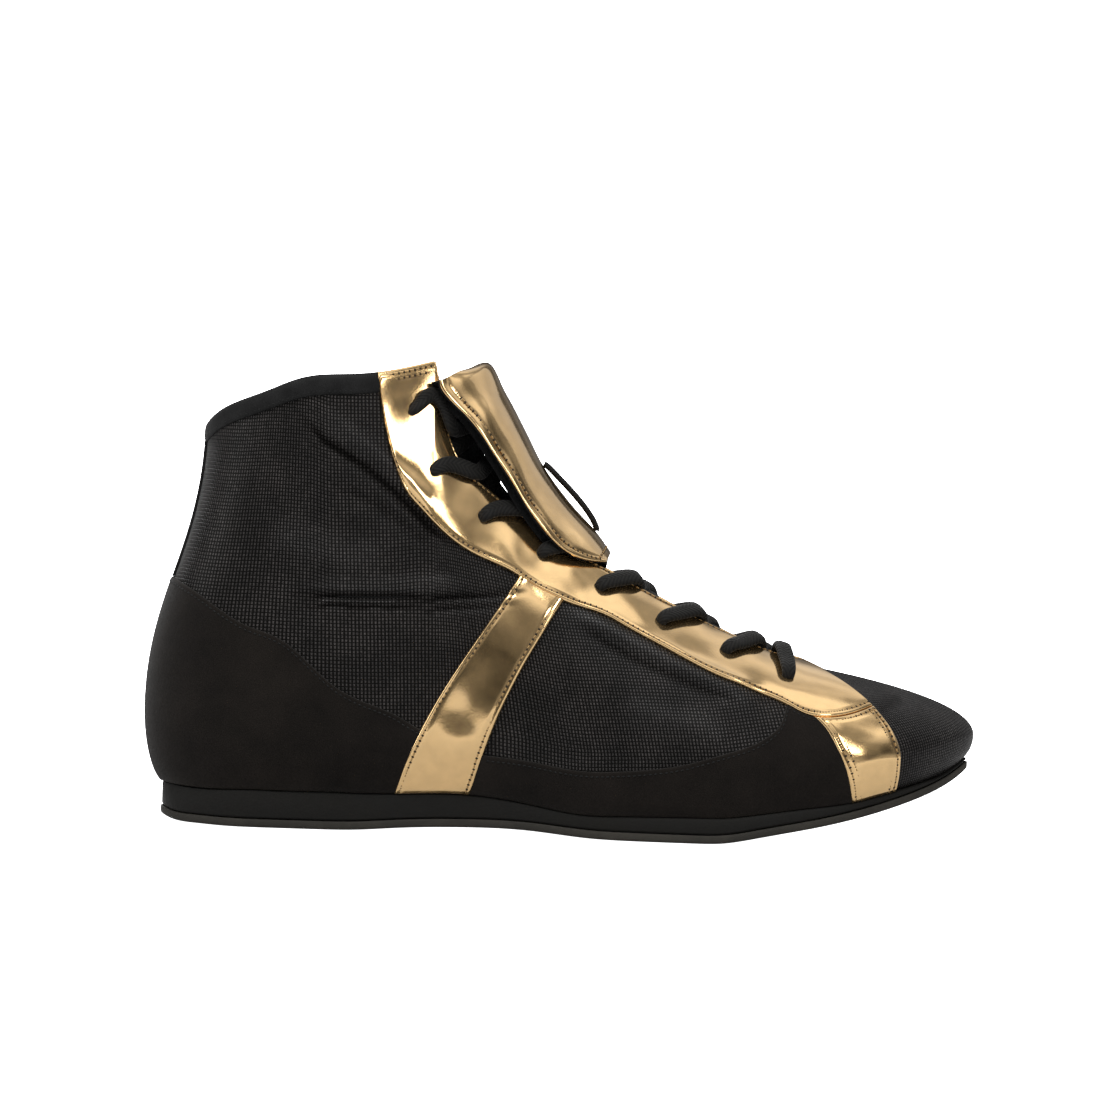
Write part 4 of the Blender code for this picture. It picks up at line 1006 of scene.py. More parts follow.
def mesh_cloth(name, pitch, dots):
    """Open mesh: a square grid of glossy threads with small light crossings between dark holes, darker in random
    patches, and with painted shade in the troughs of its creases.
    """
    color = colors().mesh
    recipe = Recipe(name, color, 0.42, Sheen_Weight=0.02, Sheen_Roughness=0.4)
    values = {"Vector": recipe.uv_place("weave"), "Scale": (1 / pitch, 1 / pitch, 1)}
    split = recipe.put("SeparateXYZ", {"Vector": recipe.put("Mapping", values).outputs[0]}).outputs
    bars = []
    for axis, start, end in (("X", 0.18, 0.34), ("Y", 0.26, 0.42)):
        off = recipe.math("ABSOLUTE", recipe.math("SUBTRACT", recipe.math("FRACT", split[axis]), 0.5))
        bars.append(recipe.spread(off, start, end, 1.0, 0.0))
    dot = recipe.math("MINIMUM", *bars)
    patches = recipe.noise(recipe.object_place(), 70.0, 3.0)
    uneven = recipe.noise(recipe.object_place(), 900.0, 2.0)
    light = recipe.math("MULTIPLY", dot, recipe.spread(uneven, 0.35, 0.65, 0.30, 1.0))
    lit = recipe.blend(light, color, dots)
    folds = recipe.put("SeparateXYZ", {"Vector": recipe.uv_place("folds")}).outputs["X"]
    # Painted shade: the colour is darkened in the troughs of the creases, read from the folds map; random noise
    # patches darken it too.
    crease_shade = recipe.spread(folds, -0.0012, -0.0002, 0.85, 0.0)
    crease_shade_and_dark_patches = recipe.math("MAXIMUM", crease_shade, recipe.spread(patches, 0.38, 0.62, 0.50, 0.0))
    shaded = recipe.blend(crease_shade_and_dark_patches, lit, shade(color, 0.3))
    raised = recipe.spread(folds, -0.0010, 0.0010, 0.05, 0.50)
    gloss = recipe.math("MULTIPLY", raised, recipe.spread(dot, 0, 1, 0.25, 1))
    recipe.tree.links.new(gloss, recipe.shader.inputs["Specular IOR Level"])
    return recipe.done(shaded, None, recipe.relief(dot, 0.00030, 0.9))


def suede_leather():
    """Short nap with brushed patches, fine fibres and a soft sheen."""
    color = colors().suede
    recipe = Recipe("suede", color, 0.95, Sheen_Weight=0.08, Sheen_Roughness=0.5, Specular_IOR_Level=0.08)
    place = recipe.object_place()
    patches = recipe.noise(place, 45.0, 4.0, 0.6)
    fibres = recipe.noise(place, 2600.0, 3.0, 0.7)
    nap = recipe.math("ADD", recipe.math("MULTIPLY", patches, 0.6), recipe.math("MULTIPLY", fibres, 0.4))
    tone = recipe.blend(recipe.spread(nap, 0.35, 0.65, 0.0, 1.0), shade(color, 0.6), shade(color, 1.7))
    soft = recipe.relief(patches, 0.0004, 0.5)
    return recipe.done(tone, None, recipe.relief(fibres, 0.00018, 0.8, soft))


def gold_patent():
    """Glossy patent leather over a metallic gold film, with faint grain and wavy gloss."""
    color = colors().gold
    recipe = Recipe(
        "gold_patent", color, 0.2, Metallic=0.96, Coat_Weight=0.5, Coat_Roughness=0.05, Specular_IOR_Level=0.5
    )
    place = recipe.object_place()
    grain = recipe.noise(place, 1500.0, 3.0)
    waves = recipe.noise(place, 75.0, 1.0)
    film = recipe.noise(place, 220.0, 3.0)
    tone = recipe.blend(recipe.spread(film, 0.3, 0.7, 0.0, 1.0), shade(color, 0.93), shade(color, 1.05))
    rough = recipe.spread(film, 0.3, 0.7, 0.10, 0.15)
    soft = recipe.relief(waves, 0.0018, 0.11)
    return recipe.done(tone, rough, recipe.relief(grain, 0.00004, 0.3, soft))


def thread(name, color):
    """Twisted sewing thread."""
    recipe = Recipe(name, color, 0.6, Specular_IOR_Level=0.2)
    fibres = recipe.noise(recipe.object_place(), 5200.0, 2.0)
    tone = recipe.blend(recipe.spread(fibres, 0.3, 0.7, 0.0, 1.0), shade(color, 0.6), shade(color, 1.2))
    return recipe.done(tone, None, recipe.relief(fibres, 0.00012, 0.8))


def smooth_edging():
    """Fine smooth cloth of the collar's edging, with a close ribbed weave."""
    color = colors().black
    recipe = Recipe("edging", color, 0.60, Sheen_Weight=0.01, Sheen_Roughness=0.35, Specular_IOR_Level=0.14)
    place = recipe.uv_place("weave")
    values = {"Vector": place, "Scale": 420.0, "Distortion": 0.4}
    ribs = recipe.put("TexWave", values, bands_direction="X").outputs[1]
    wear = recipe.noise(recipe.object_place(), 160.0, 3.0)
    tone = recipe.blend(recipe.spread(wear, 0.35, 0.7, 0.0, 1.0), shade(color, 0.8), shade(color, 1.9))
    return recipe.done(tone, None, recipe.relief(ribs, 0.00008, 0.6))


def knit(name, color, scale):
    """Brushed lining cloth with small loops."""
    recipe = Recipe(name, color, 0.9, Sheen_Weight=0.12, Sheen_Roughness=0.5, Specular_IOR_Level=0.2)
    place = recipe.object_place()
    loops = recipe.put("TexVoronoi", {"Vector": place, "Scale": scale}).outputs["Distance"]
    fuzz = recipe.noise(place, 2200.0, 3.0)
    tone = recipe.blend(recipe.spread(loops, 0.1, 0.6, 0.0, 1.0), shade(color, 1.7), shade(color, 0.5))
    soft = recipe.relief(loops, 0.0003, 0.6)
    return recipe.done(tone, None, recipe.relief(fuzz, 0.0001, 0.6, soft))


def woven_lace(name, color, pitch):
    """Flat woven lace or webbing: slanted picks that meet along the middle."""
    recipe = Recipe(name, color, 0.75, Sheen_Weight=0.05, Sheen_Roughness=0.4, Specular_IOR_Level=0.2)
    split = recipe.put("SeparateXYZ", {"Vector": recipe.uv_place("weave")}).outputs
    slant = recipe.math("ABSOLUTE", split["Y"])
    along = recipe.math("MULTIPLY", recipe.math("ADD", split["X"], slant), 2 * math.pi / pitch)
    picks = recipe.spread(recipe.math("SINE", along), -1.0, 1.0, 0.0, 1.0)
    fibres = recipe.noise(recipe.object_place(), 4200.0, 2.0)
    height = recipe.math("ADD", recipe.math("MULTIPLY", picks, 0.75), recipe.math("MULTIPLY", fibres, 0.25))
    tone = recipe.blend(recipe.spread(height, 0.2, 0.8, 0.0, 1.0), shade(color, 0.5), shade(color, 1.5))
    return recipe.done(tone, None, recipe.relief(height, 0.00022, 0.8))


def rubber(name, color, tread):
    """Moulded rubber with a fine grain, dusty low patches and, underneath, a slanted tread."""
    recipe = Recipe(name, color, 0.68, Specular_IOR_Level=0.2)
    place = recipe.object_place()
    grain = recipe.noise(place, 1800.0, 4.0, 0.6)
    dust = recipe.noise(place, 60.0, 5.0, 0.65)
    tone = recipe.blend(recipe.spread(dust, 0.42, 0.72, 0.0, 0.8), color, shade(color, 2.0))
    rough = recipe.spread(dust, 0.3, 0.7, 0.58, 0.82)
    normal = recipe.relief(grain, 0.00010, 0.6)
    if tread:
        slanted = recipe.put("Mapping", {"Vector": place, "Rotation": (0, 0, math.radians(35))}).outputs[0]
        bands = recipe.put("TexWave", {"Vector": slanted, "Scale": 70.0, "Distortion": 0.0}).outputs[1]
        low = recipe.put("SeparateXYZ", {"Vector": recipe.put("NewGeometry").outputs["Normal"]}).outputs["Z"]
        under = recipe.spread(low, -0.95, -0.8, 1.0, 0.0)
        normal = recipe.relief(recipe.math("MULTIPLY", bands, under), 0.0010, 1.0, normal)
    return recipe.done(tone, rough, normal)


FINISHES = {
    "mesh": lambda: mesh_cloth("mesh_cloth", 0.00125, colors().mesh_dots),
    "suede": suede_leather,
    "gold": gold_patent,
    "gold_thread": lambda: thread("gold_thread", colors().gold_thread),
    # Needle holes: real holes, drawn as dark marks whose darkness is painted shade in them
    "needle_hole_shade": lambda: thread("needle_hole_shade", shade(colors().gold_thread, 0.09)),
    "black_thread": lambda: thread("black_thread", colors().black),
    "edging": smooth_edging,
    "lining": lambda: knit("lining_knit", colors().black, 900.0),
    "tongue": lambda: knit("tongue_knit", shade(colors().black, 1.1), 620.0),
    "lace": lambda: woven_lace("woven_lace", colors().lace, 0.0016),
    "webbing": lambda: woven_lace("webbing", shade(colors().lace, 0.9), 0.0011),
    "sole": lambda: rubber("side_wall_rubber", colors().sole, False),
    "outsole": lambda: rubber("outsole_rubber", colors().outsole, True),
}
MADE_FINISHES = {}


def finish_of(name):
    if name not in MADE_FINISHES:
        MADE_FINISHES[name] = FINISHES[name]()
    return MADE_FINISHES[name]


def ring_lengths(q):
    """Distance round the shoe at half height of each ring place."""
    return lengths_along(last(q, np.full(q.shape, 0.55)), 0)


def shell_uv(q, points):
    """The weave's place on a grid: distance round the shoe, and up from the sole along each rib."""
    around = np.repeat(ring_lengths(q)[:, None], points.shape[1], axis=1)
    fine = np.where(np.minimum(q, ROUND - q) > TOE_MESH_ROW, TOE_MESH_SCALE, 1.0)[:, None, None]
    return (np.stack([around, lengths_along(points, 1)], axis=-1) * fine).reshape(-1, 2)


def upper_grid(count, levels):
    """Ring places and heights of the upper, whose rim lies under the edging of the collar."""
    q = ring_stops(count)
    rows = np.minimum(q, ROUND - q)
    rim = np.where(rows <= COLLAR_END_ROW, below_top(q, BINDING_HEIGHT - 2 * FIT), 1.0)
    even = np.linspace(0, 1, levels)[None, :]
    drawn = RIM_FROM + (even - RIM_FROM) / (1 - RIM_FROM) * (rim[:, None] - RIM_FROM)
    v = np.where(even < RIM_FROM, even, drawn)
    return np.repeat(q[:, None], levels, axis=1), v


def punched(mesh, name):
    """The mesh with the sixteen eyelets cut out."""
    points, faces, start = [], [], 0
    corners = 20
    reach = 4 * WALL
    angles = np.arange(corners) * 2 * math.pi / corners
    for side in SIDES:
        for q, v in EYELET_PLACES[side]:
            axis = outward(q, v)
            across = unit(np.cross(axis, (0.0, 0.0, 1.0)))
            other = np.cross(axis, across)
            ring = (np.cos(angles)[:, None] * across + np.sin(angles)[:, None] * other) * sizes().eyelet / 2
            pegs, sides = tube(np.stack([last(q, v) + ring - axis * reach, last(q, v) + ring + axis * reach]))
            points.append(pegs)
            faces += [tuple(start + corner for corner in face) for face in sides]
            start += len(pegs)
    cutter = new_object("cutter", new_mesh("cutter", np.concatenate(points), faces))
    whole = new_object(name, mesh)
    holes = whole.modifiers.new("Eyelets", "BOOLEAN")
    holes.operation = "DIFFERENCE"
    holes.solver = "EXACT"
    holes.object = cutter
    cut = plain_copy(whole, name)
    for obj in (cutter, whole):
        bpy.data.objects.remove(obj, do_unlink=True)
    return cut


def plain_copy(obj, name):
    """The object's mesh as its modifiers leave it."""
    bpy.context.view_layer.update()
    graph = bpy.context.evaluated_depsgraph_get()
    evaluated = obj.evaluated_get(graph)
    mesh = bpy.data.meshes.new_from_object(evaluated, preserve_all_data_layers=True, depsgraph=graph)
    mesh.name = name
    return mesh


def add_upper():
    shell = sizes().shell
    q, v = upper_grid(sizes().ring_points, sizes().rib_points)
    outer, inner = surface(q, v, 0.0), surface(q, v, -shell)
    points, faces = wall(outer, inner, closed=True)
    uv = np.concatenate([shell_uv(q[:, 0], outer)] * 2)
    # Crease heights for the mesh's finish, which paints shade into their troughs
    folds = np.concatenate([relief(last(q, v)).ravel()] * 2)
    mesh = punched(new_mesh("upper", points, faces, uv, folds), "upper")
    piece("mesh_upper", mesh, "mesh", ("upper",))
    q, v = upper_grid(*LINING_POINTS)
    points, faces = wall(surface(q, v, -shell - LINING_GAP), surface(q, v, -WALL), closed=True)
    mesh = punched(new_mesh("lining", points, faces), "lining")
    piece("inner_lining", mesh, "lining")


def add_collar():
    """The padded edging from one eyestay round the heel to the other, sewn down along its lower edge."""
    end = COLLAR_END_ROW + COLLAR_LAP
    rows = np.linspace(-end, end, 260)
    low, deep = np.array(EDGING).T / 1000
    around = np.arange(len(EDGING) + 1)
    fine = np.linspace(0, len(EDGING), 36, endpoint=False)
    low, deep = (smooth_curve(around, [*values, values[0]])(fine) for values in (low, deep))
    rings = np.stack([surface(rows, below_top(rows, d), t) for d, t in zip(np.maximum(low, 0), deep)], axis=1)
    points, faces = tube(rings)
    along = ring_lengths(rows)
    uv = np.stack(np.broadcast_arrays(along[:, None], fine[None, :] * 0.0015), axis=-1).reshape(-1, 2)
    mesh = new_mesh("collar_edging", points, faces, uv)
    edging = piece("collar_edging", mesh, "edging", ("collar_binding",))


def overlay_grid(side, lowest_row, highest_row, low, high, columns, rows):
    """Ring places and heights between two rows given over v and two heights given over the row."""
    a, b = np.meshgrid(edge_steps(columns), edge_steps(rows), indexing="ij")
    v = np.full(a.shape, 0.3)
    for _ in range(8):
        q = turn(side, (1 - a) * lowest_row(v) + a * highest_row(v))
        v = (1 - b) * low(q) + b * high(q)
    return q, v


def nearest_edge(distances, kept):
    """Distance to the nearest of the grid's edges that are kept, or 1 m where none is."""
    return np.min([d if is_kept else np.full(d.shape, 1.0) for d, is_kept in zip(distances, kept)], axis=0)


def overlay_heights(points, thickness, radius, sewn, open_edges):
    """Height of an overlay's face: rounded along its free edges and drawn in along its seams."""
    distances = edge_distances(points)
    free = nearest_edge(distances, open_edges)
    height = thickness * (0.3 + 0.7 * rounding(free, radius))
    if sewn:
        inset = nearest_edge(distances, sewn) - sizes().seam_inset
        height -= SEAM_DEPTH * np.exp(-((inset / SEAM_REACH) ** 2))
    return height


def patent_waves(points):
    x, z = points[..., 0] + 0.4 * points[..., 1], points[..., 2]
    waves = np.zeros(x.shape)
    for length, height, phase, size in PATENT_WAVES:
        wave = np.sin(2 * math.pi * x / length + phase) * np.sin(2 * math.pi * z / height + 2 * phase)
        waves += size * wave
    return waves


def add_overlay(name, grid, thickness, finish, node, open_edges, sewn=None):
    """A panel on a grid. Its edges are marked as free or sewn: first and last column, first and last row."""
    q, v = grid
    points = last(q, v)
    gold = finish == "gold"
    radius = GOLD_RADIUS if gold else PANEL_RADIUS
    height = overlay_heights(points, thickness, radius, sewn, open_edges)
    if gold:
        height += patent_waves(points) * np.clip(height / thickness - 0.3, 0, 1)
    if name.startswith("eyestay"):
        for place in EYELET_PLACES[name.split("_")[1]]:
            pull = np.exp(-((np.linalg.norm(points - last(*place), axis=-1) / PULL_REACH) ** 2))
            height -= PULL_DEPTH * pull * np.clip(height / thickness - 0.3, 0, 1)
    shell, faces = wall(surface(q, v, height), surface(q, v, PANEL_GAP))
    mesh = new_mesh(name, shell, faces, grid_uv(points))
    if name.startswith("eyestay"):
        mesh = punched(mesh, name)
    piece(name, mesh, finish, (node,), 35)


def lines_down():
    """The rows of the edges that run down to the sole, as functions of height."""
    strap_back = {side: along_edge(STRAP_BACK, side, 3.5, 9.0) for side in SIDES}
    strap_front = {side: along_edge(STRAP_FRONT, side, 4.5, 10.0) for side in SIDES}
    band_back = {side: along_edge(BAND_BACK, side, 10.0, 12.5) for side in SIDES}
    return strap_back, strap_front, band_back


def forefoot_top(q):
    """Upper edge of the forefoot's suede, which stays under the eyestay."""
    return np.minimum(MUDGUARD_TOP(q), edge_gap(q, FACING_FOOT(q), 0.0002))


def add_suede():
    strap_back, strap_front, band_back = lines_down()
    height = sizes().suede
    back = lambda v: -strap_back["medial"](v) - PANEL_LAP
    front = moved(strap_back["lateral"], PANEL_LAP)
    grid = overlay_grid("lateral", back, front, steady(0.0), COUNTER_TOP, 220, 60)
    add_overlay("heel_counter_suede", grid, height, "suede", "heel_counter", (0, 0, 0, 1))
    for side in SIDES:
        back, front = moved(strap_front[side], -PANEL_LAP), moved(band_back[side], PANEL_LAP)
        grid = overlay_grid(side, back, front, steady(0.0), forefoot_top, 170, 44)
        name, node = "forefoot_suede_" + side, "mudguard_" + side
        add_overlay(name, grid, height, "suede", node, (0, 0, 0, 1))
    half = BACKSTAY_WIDTH / 2 / (TURN_PLACES[WRAP + 1] - TURN_PLACES[WRAP])
    low = lambda q: edge_gap(q, COUNTER_TOP(q), -0.0001)
    high = lambda q: below_top(q, BINDING_HEIGHT - FIT)
    grid = overlay_grid("lateral", steady(-half), steady(half), low, high, 20, 60)
    add_overlay("back_strip", grid, 0.0010, "edging", "backstay", (1, 1, 0, 0))


def eyestay_foot(q):
    """Lower edge of the eyestay, which stays clear of the top line."""
    return np.minimum(FACING_FOOT(q), below_top(q, EYESTAY_DROP))


def eyestay_grid(side):
    rows = EYESTAY_TOP_ROW + (BAND_FRONT_ROW - EYESTAY_TOP_ROW) * edge_steps(300)
    ring = turn(side, np.unique(np.concatenate([rows, [CORNER_ROW]])))
    steps = edge_steps(44)
    return np.repeat(ring[:, None], len(steps), axis=1), eyestay_foot(ring)[:, None] * (1 - steps) + steps


def add_gold():
    strap_back, strap_front, band_back = lines_down()
    low, high = steady(0.0), lambda q: edge_gap(q, FACING_FOOT(q), 0.0001)
    for side in SIDES:
        strap = overlay_grid(side, strap_back[side], strap_front[side], low, high, 40, 110)
        band = overlay_grid(side, band_back[side], steady(BAND_FRONT_ROW), low, high, 44, 60)
        for name, grid, node, open_edges, sewn in (
            ("eyestay_", eyestay_grid(side), "facing_", (1, 1, 1, 1), (1, 0, 1, 1)),
            ("saddle_strap_gold_", strap, "saddle_strap_", (1, 1, 0, 0), (1, 1, 0, 0)),
            ("toe_band_", band, "band_", (1, 1, 0, 1), (1, 1, 0, 1)),
        ):
            height = sizes().patent
            add_overlay(name + side, grid, height, "gold", node + side, open_edges, sewn)


def sole_rings(name, rings, finish, node):
    """A layer of the sole from rings given as (offset, height function of the edge's x), from below up."""
    q = ring_stops(sizes().ring_points)
    count = len(q)
    edge_x = foot_outline(q, 0.0)[:, 0]
    heel = 0.0
    if name != "sock_liner":
        heel = HEEL_INSET * (1 - smooth_step((edge_x - edge_x.min()) / HEEL_REACH))
    points = [np.column_stack([foot_outline(q, offset - heel), height(edge_x)]) for offset, height in rings]
    faces = []
    for start in range(0, (len(rings) - 1) * count, count):
        for i in range(count):
            j = (i + 1) % count
            faces.append((start + i, start + j, start + count + j, start + count + i))
    for start, turn_back in ((0, -1), ((len(rings) - 1) * count, 1)):
        for i in range(count // 2):
            corners = dict.fromkeys((i, i + 1, (count - i - 1) % count, (count - i) % count))
            faces.append([start + corner for corner in corners][::turn_back])
    mesh = new_mesh(name, np.concatenate(points), faces)
    piece(name, mesh, finish, (node,), 35)


def above(base, rise):
    return lambda x: base(x) + rise


def add_sole():
    def split(x):
        return underside(x) + OUTSOLE_THICKNESS

    def top(x):
        return np.maximum(feather(x) - SOLE_SEAT / 2, split(x) + 0.0012)

    def below_top_edge(drop, least):
        return lambda x: np.maximum(top(x) - drop, split(x) + least)

    welt = WELT + OUTSOLE_STEP
    edge = 0.0010
    rings = [(welt - 0.0016, underside)]
    for t in np.linspace(0, math.pi / 2, 6):
        rings.append((welt - edge + edge * math.sin(t), above(underside, edge * (1 - math.cos(t)))))
    for offset, rise in ((welt, -0.0004), (welt - 0.00015, -0.0001), (welt - 0.0005, 0.0)):
        rings.append((offset, above(split, rise)))
    sole_rings("outsole_layer", rings, "outsole", "outsole")
    rings = []
    for offset, rise in ((-0.0012, 0.00005), (-0.0007, 0.00015), (-0.0002, 0.0005), (0.0, 0.0010)):
        rings.append((WELT + offset, above(split, rise)))
    rings += [(WELT, below_top_edge(0.0011, 0.0010)), (WELT - 0.0002, below_top_edge(0.0004, 0.0011))]
    rings += [(WELT - 0.0008, top), (0.0002, top)]
    sole_rings("side_wall", rings, "sole", "midsole")
    rings = [(-WALL - FIT, above(feather, 0.0001))]
    for offset, rise in ((0.0, -0.0002), (-0.0006, 0.0004), (-0.0030, 0.0002), (-0.0060, -0.0005)):
        rings.append((-WALL - FIT + offset, above(feather, INSOLE_THICKNESS + rise)))
    sole_rings("sock_liner", rings, "lining", "insole")


def add_tongue():
    """The padded tongue: a crowned body that thins to its edges."""
    rows, slopes = np.array(TONGUE_ROWS).T
    slope_at = smooth_curve(rows, slopes)
    fine = [(row, float(slope_at(row)), 0.0, 0.0) for row in np.linspace(TONGUE_TOP_ROW, rows[-1], 90)]
    fine += [(rows[-1], slopes[-1], reach, sink) for reach, sink in TONGUE_END_ROWS]
    face, back = [], []
    for row, slope, reach, sink in fine:
        side = tongue_section(row, slope, tongue_depth(), reach, sink, 14, 6)
        under = tongue_section(row, slope, tongue_depth() + TONGUE_THICKNESS, reach, sink, 14, 6)
        share = np.abs(np.linspace(-1, 1, len(side)))[:, None]
        full = np.sqrt(1 - np.clip((share - 0.86) / 0.14, 0, 1) ** 2) * 0.86 + 0.14
        tucked = smooth_step((share - 0.60) / 0.2) * 0.16
        middle = side + (under - side) * 0.5
        face.append(middle + (side - middle) * (full - tucked))
        back.append(middle + (under - middle) * full)
    face, back = np.stack(face, axis=1), np.stack(back, axis=1)
    points, faces = wall(face[:, ::-1], back[:, ::-1])
    mesh = new_mesh("tongue", points, faces)
    tongue = piece("padded_tongue", mesh, "tongue", ("tongue",))


def flap_sheet(name, depths, end, share, finish, slot, node, crown=0.0):
    """One layer of the folded flap with rounded edges: its skin when crown is 0, or its swelling lining."""
    steps, across = edge_steps(110), edge_steps(90) * 2 - 1
    a, b = np.meshgrid(steps * end, across * share, indexing="ij")
    base, normal = flap(a, b), flap_outward(a, b)
    free = nearest_edge(edge_distances(base), (0, 1, 1, 1))
    top, bottom = depths
    middle = (top + bottom) / 2
    half = (bottom - top) / 2 * (0.25 + 0.75 * rounding(free, FLAP_RADIUS))
    drawn_in = 0.0
    if crown == 0:
        inset, reach, depth = FLAP_SEAM
        drawn_in = depth * np.exp(-(((free - inset) / reach) ** 2)) - patent_waves(base)
    swell = crown * np.sqrt(np.clip(free / SWELL_REACH, 0, 1))
    face = base - normal * (middle - half + drawn_in)[..., None]
    back = base - normal * (middle + half + swell)[..., None]
    points, faces = wall(face, back)
    return piece(name, new_mesh(name, points, faces, grid_uv(base)), finish, (node,), 40)


def add_flap():
    tip = len(FLAP_ROWS) - 1
    flap_sheet("flap_gold", FLAP_SKIN, tip - 0.07, 1.0, "gold", "gold_patent", "tongue_flap")
    # The lining stands wider than the flap: its black also fills the gap under the flap's edges, a stand-in for
    # the shade there
    look = ("tongue", "tongue_fabric", "flap_pad", LINING_SWELL)
    pad = flap_sheet("flap_lining", FLAP_LINING, tip, FLAP_LINING_WIDTH, *look)
    fold_back()
    add_loop()


def fold_back():
    """The roll at the top that joins the tongue's upper end to the flap."""
    columns = 60
    slope = TONGUE_ROWS[0][1]
    start = tongue_section(TONGUE_TOP_ROW, slope, tongue_depth() + 0.0010, 0, 0, 14, 0)
    share = np.linspace(-1, 1, len(start))
    across = np.linspace(-1, 1, columns) * 0.93
    low = along_line(across, share, start)
    high = flap(np.zeros(columns), across) - flap_outward(np.zeros(columns), across) * 0.0008
    t = np.linspace(0, 1, 24)[None, :]
    rise = (high - low) * 0.35
    roll = flap_outward(np.zeros(columns), across) * 0.0012
    bends = (low, low + rise, high - rise * 0.4 + roll, high)
    arch = bezier(*(bend[:, None] for bend in bends), t)
    along = np.gradient(arch, axis=1)
    normal = unit(np.cross(np.gradient(arch, axis=0), along))
    normal *= np.sign(normal[..., 2:] + 1e-9)
    points, faces = wall(arch, arch - normal * 0.0018)
    mesh = new_mesh("tongue_fold", points, faces)
    piece("tongue_fold", mesh, "gold")


def sweep(line, across, widths, thicknesses, corners):
    """A rounded flat strip along a line, with its width direction at each point."""
    along = unit(np.gradient(line, axis=0))
    across = unit(across - along * np.sum(across * along, axis=1, keepdims=True))
    up = np.cross(along, across)
    angles = np.linspace(0, 2 * math.pi, corners, endpoint=False)
    w, t = (np.sign(part) * np.abs(part) ** 0.75 / 2 for part in (np.cos(angles), np.sin(angles)))
    rings = (
        line[:, None]
        + across[:, None] * (w[None, :, None] * widths[:, None, None])
        + up[:, None] * (t[None, :, None] * thicknesses[:, None, None])
    )
    lengths = lengths_along(line, 0)
    uv = np.stack(np.broadcast_arrays(lengths[:, None], (w * widths.max())[None, :]), axis=-1).reshape(-1, 2)
    return (*tube(rings), uv)


def add_loop():
    """A webbing loop that stands off the flap between its two sewn ends."""
    a = np.linspace(LOOP_FROM, LOOP_TO, 60)
    bow = np.sin(np.linspace(0, math.pi, len(a))) ** 0.6 * 0.0026
    line = flap(a, 0.0) + flap_outward(a, 0.0) * (bow + 0.0004)[:, None]
    across = np.tile([0.0, 1.0, 0.0], (len(a), 1))
    points, faces, uv = sweep(line, across, np.full(len(a), LOOP_WIDTH), np.full(len(a), LOOP_THICKNESS), 16)
    mesh = new_mesh("loop", points, faces, uv)
    piece("webbing_loop", mesh, "webbing", ("flap_loop",))


def other_side(side):
    return "medial" if side == "lateral" else "lateral"


def lip_rows(side, number):
    """Rows of the throat's edge nearest to an eyelet and to the next one towards the toe."""
    following = min(number + 1, len(EYELETS) - 1)
    return edge_row(*EYELET_PLACES[side][number]), edge_row(*EYELET_PLACES[side][following])


def lace_at_eyelet(side, number, under_lean, over_lean):
    """The lace at one eyelet: places, width directions, width and thickness from under the lip to over it."""
    q, v = EYELET_PLACES[side][number]
    own, following = lip_rows(side, number)
    before = lip_rows(side, number - 1)[0] if number else own
    under = float(turn(side, own - (own - before) * under_lean))
    over = float(turn(side, own + (following - own) * over_lean))
    towards = last(over, 1.0) - last(q, v)
    rows = []
    for share, height, width, thickness in LACE_BEND:
        lip = under if height < 0.5 else over
        at_q, at_v = q + (lip - q) * share, v + (1 - v) * share
        point = surface(np.array(at_q), np.array(at_v), height / 1000)
        rows.append((point, unit(np.cross(outward(at_q, at_v), towards)), width, thickness))
    point = surface(np.array(over), np.array(1.0), LACE_OVER_LIP)
    return rows + [(point, unit(np.cross(outward(over, 0.99), towards)), 1.0, 1.0)]


def lace_over_throat(side, number, raised):
    """From the lip over the tongue to under the other eyestay."""
    sign = -1 if side == "lateral" else 1
    own, following = lip_rows(side, number)
    points = []
    for share, travel, height in LACE_CROSSING:
        lift = height + raised * math.exp(-((share / 0.35) ** 2)) * 0.0012
        points.append(over_tongue(own + (following - own) * travel, sign * share, lift))
    tip = len(points) - 1
    ahead = [points[min(i + 1, tip)][0] - points[max(i - 1, 0)][0] for i in range(tip + 1)]
    rows = [(point, unit(np.cross(up, step)), 1.0, 0.95) for (point, up), step in zip(points, ahead)]
    return rows[:-1] + [(*rows[-1][:2], 0.95, 0.60)]


def smooth_sweep(rows, spacing):
    """Evenly spaced line, width directions, widths and thicknesses through rough rows."""
    line = np.array([row[0] for row in rows])
    across = np.array([row[1] for row in rows])
    for i in range(1, len(across)):
        if across[i] @ across[i - 1] < 0:
            across[i] = -across[i]
    lengths = lengths_along(line, 0)
    at = np.linspace(0, lengths[-1], int(lengths[-1] / spacing))
    smooth = np.stack([smooth_curve(lengths, line[:, i])(at) for i in range(3)], axis=1)
    widths, thicknesses = (np.interp(at, lengths, [row[i] for row in rows]) for i in (2, 3))
    return smooth, unit(along_line(at, lengths, across)), widths, thicknesses


def half_lace(side, raised):
    """One half of the lace from its end under a top eyelet down to the last pair of eyelets."""
    rows = []
    for number in range(len(EYELETS)):
        last_one = number == len(EYELETS) - 1
        bend = lace_at_eyelet(side, number, 0.15, 0.0 if last_one else 0.42)
        rows += bend[2:] if number == 0 else bend
        if not last_one:
            rows += lace_over_throat(side, number, raised if number % 2 == 0 else -raised)
            side = other_side(side)
    return rows


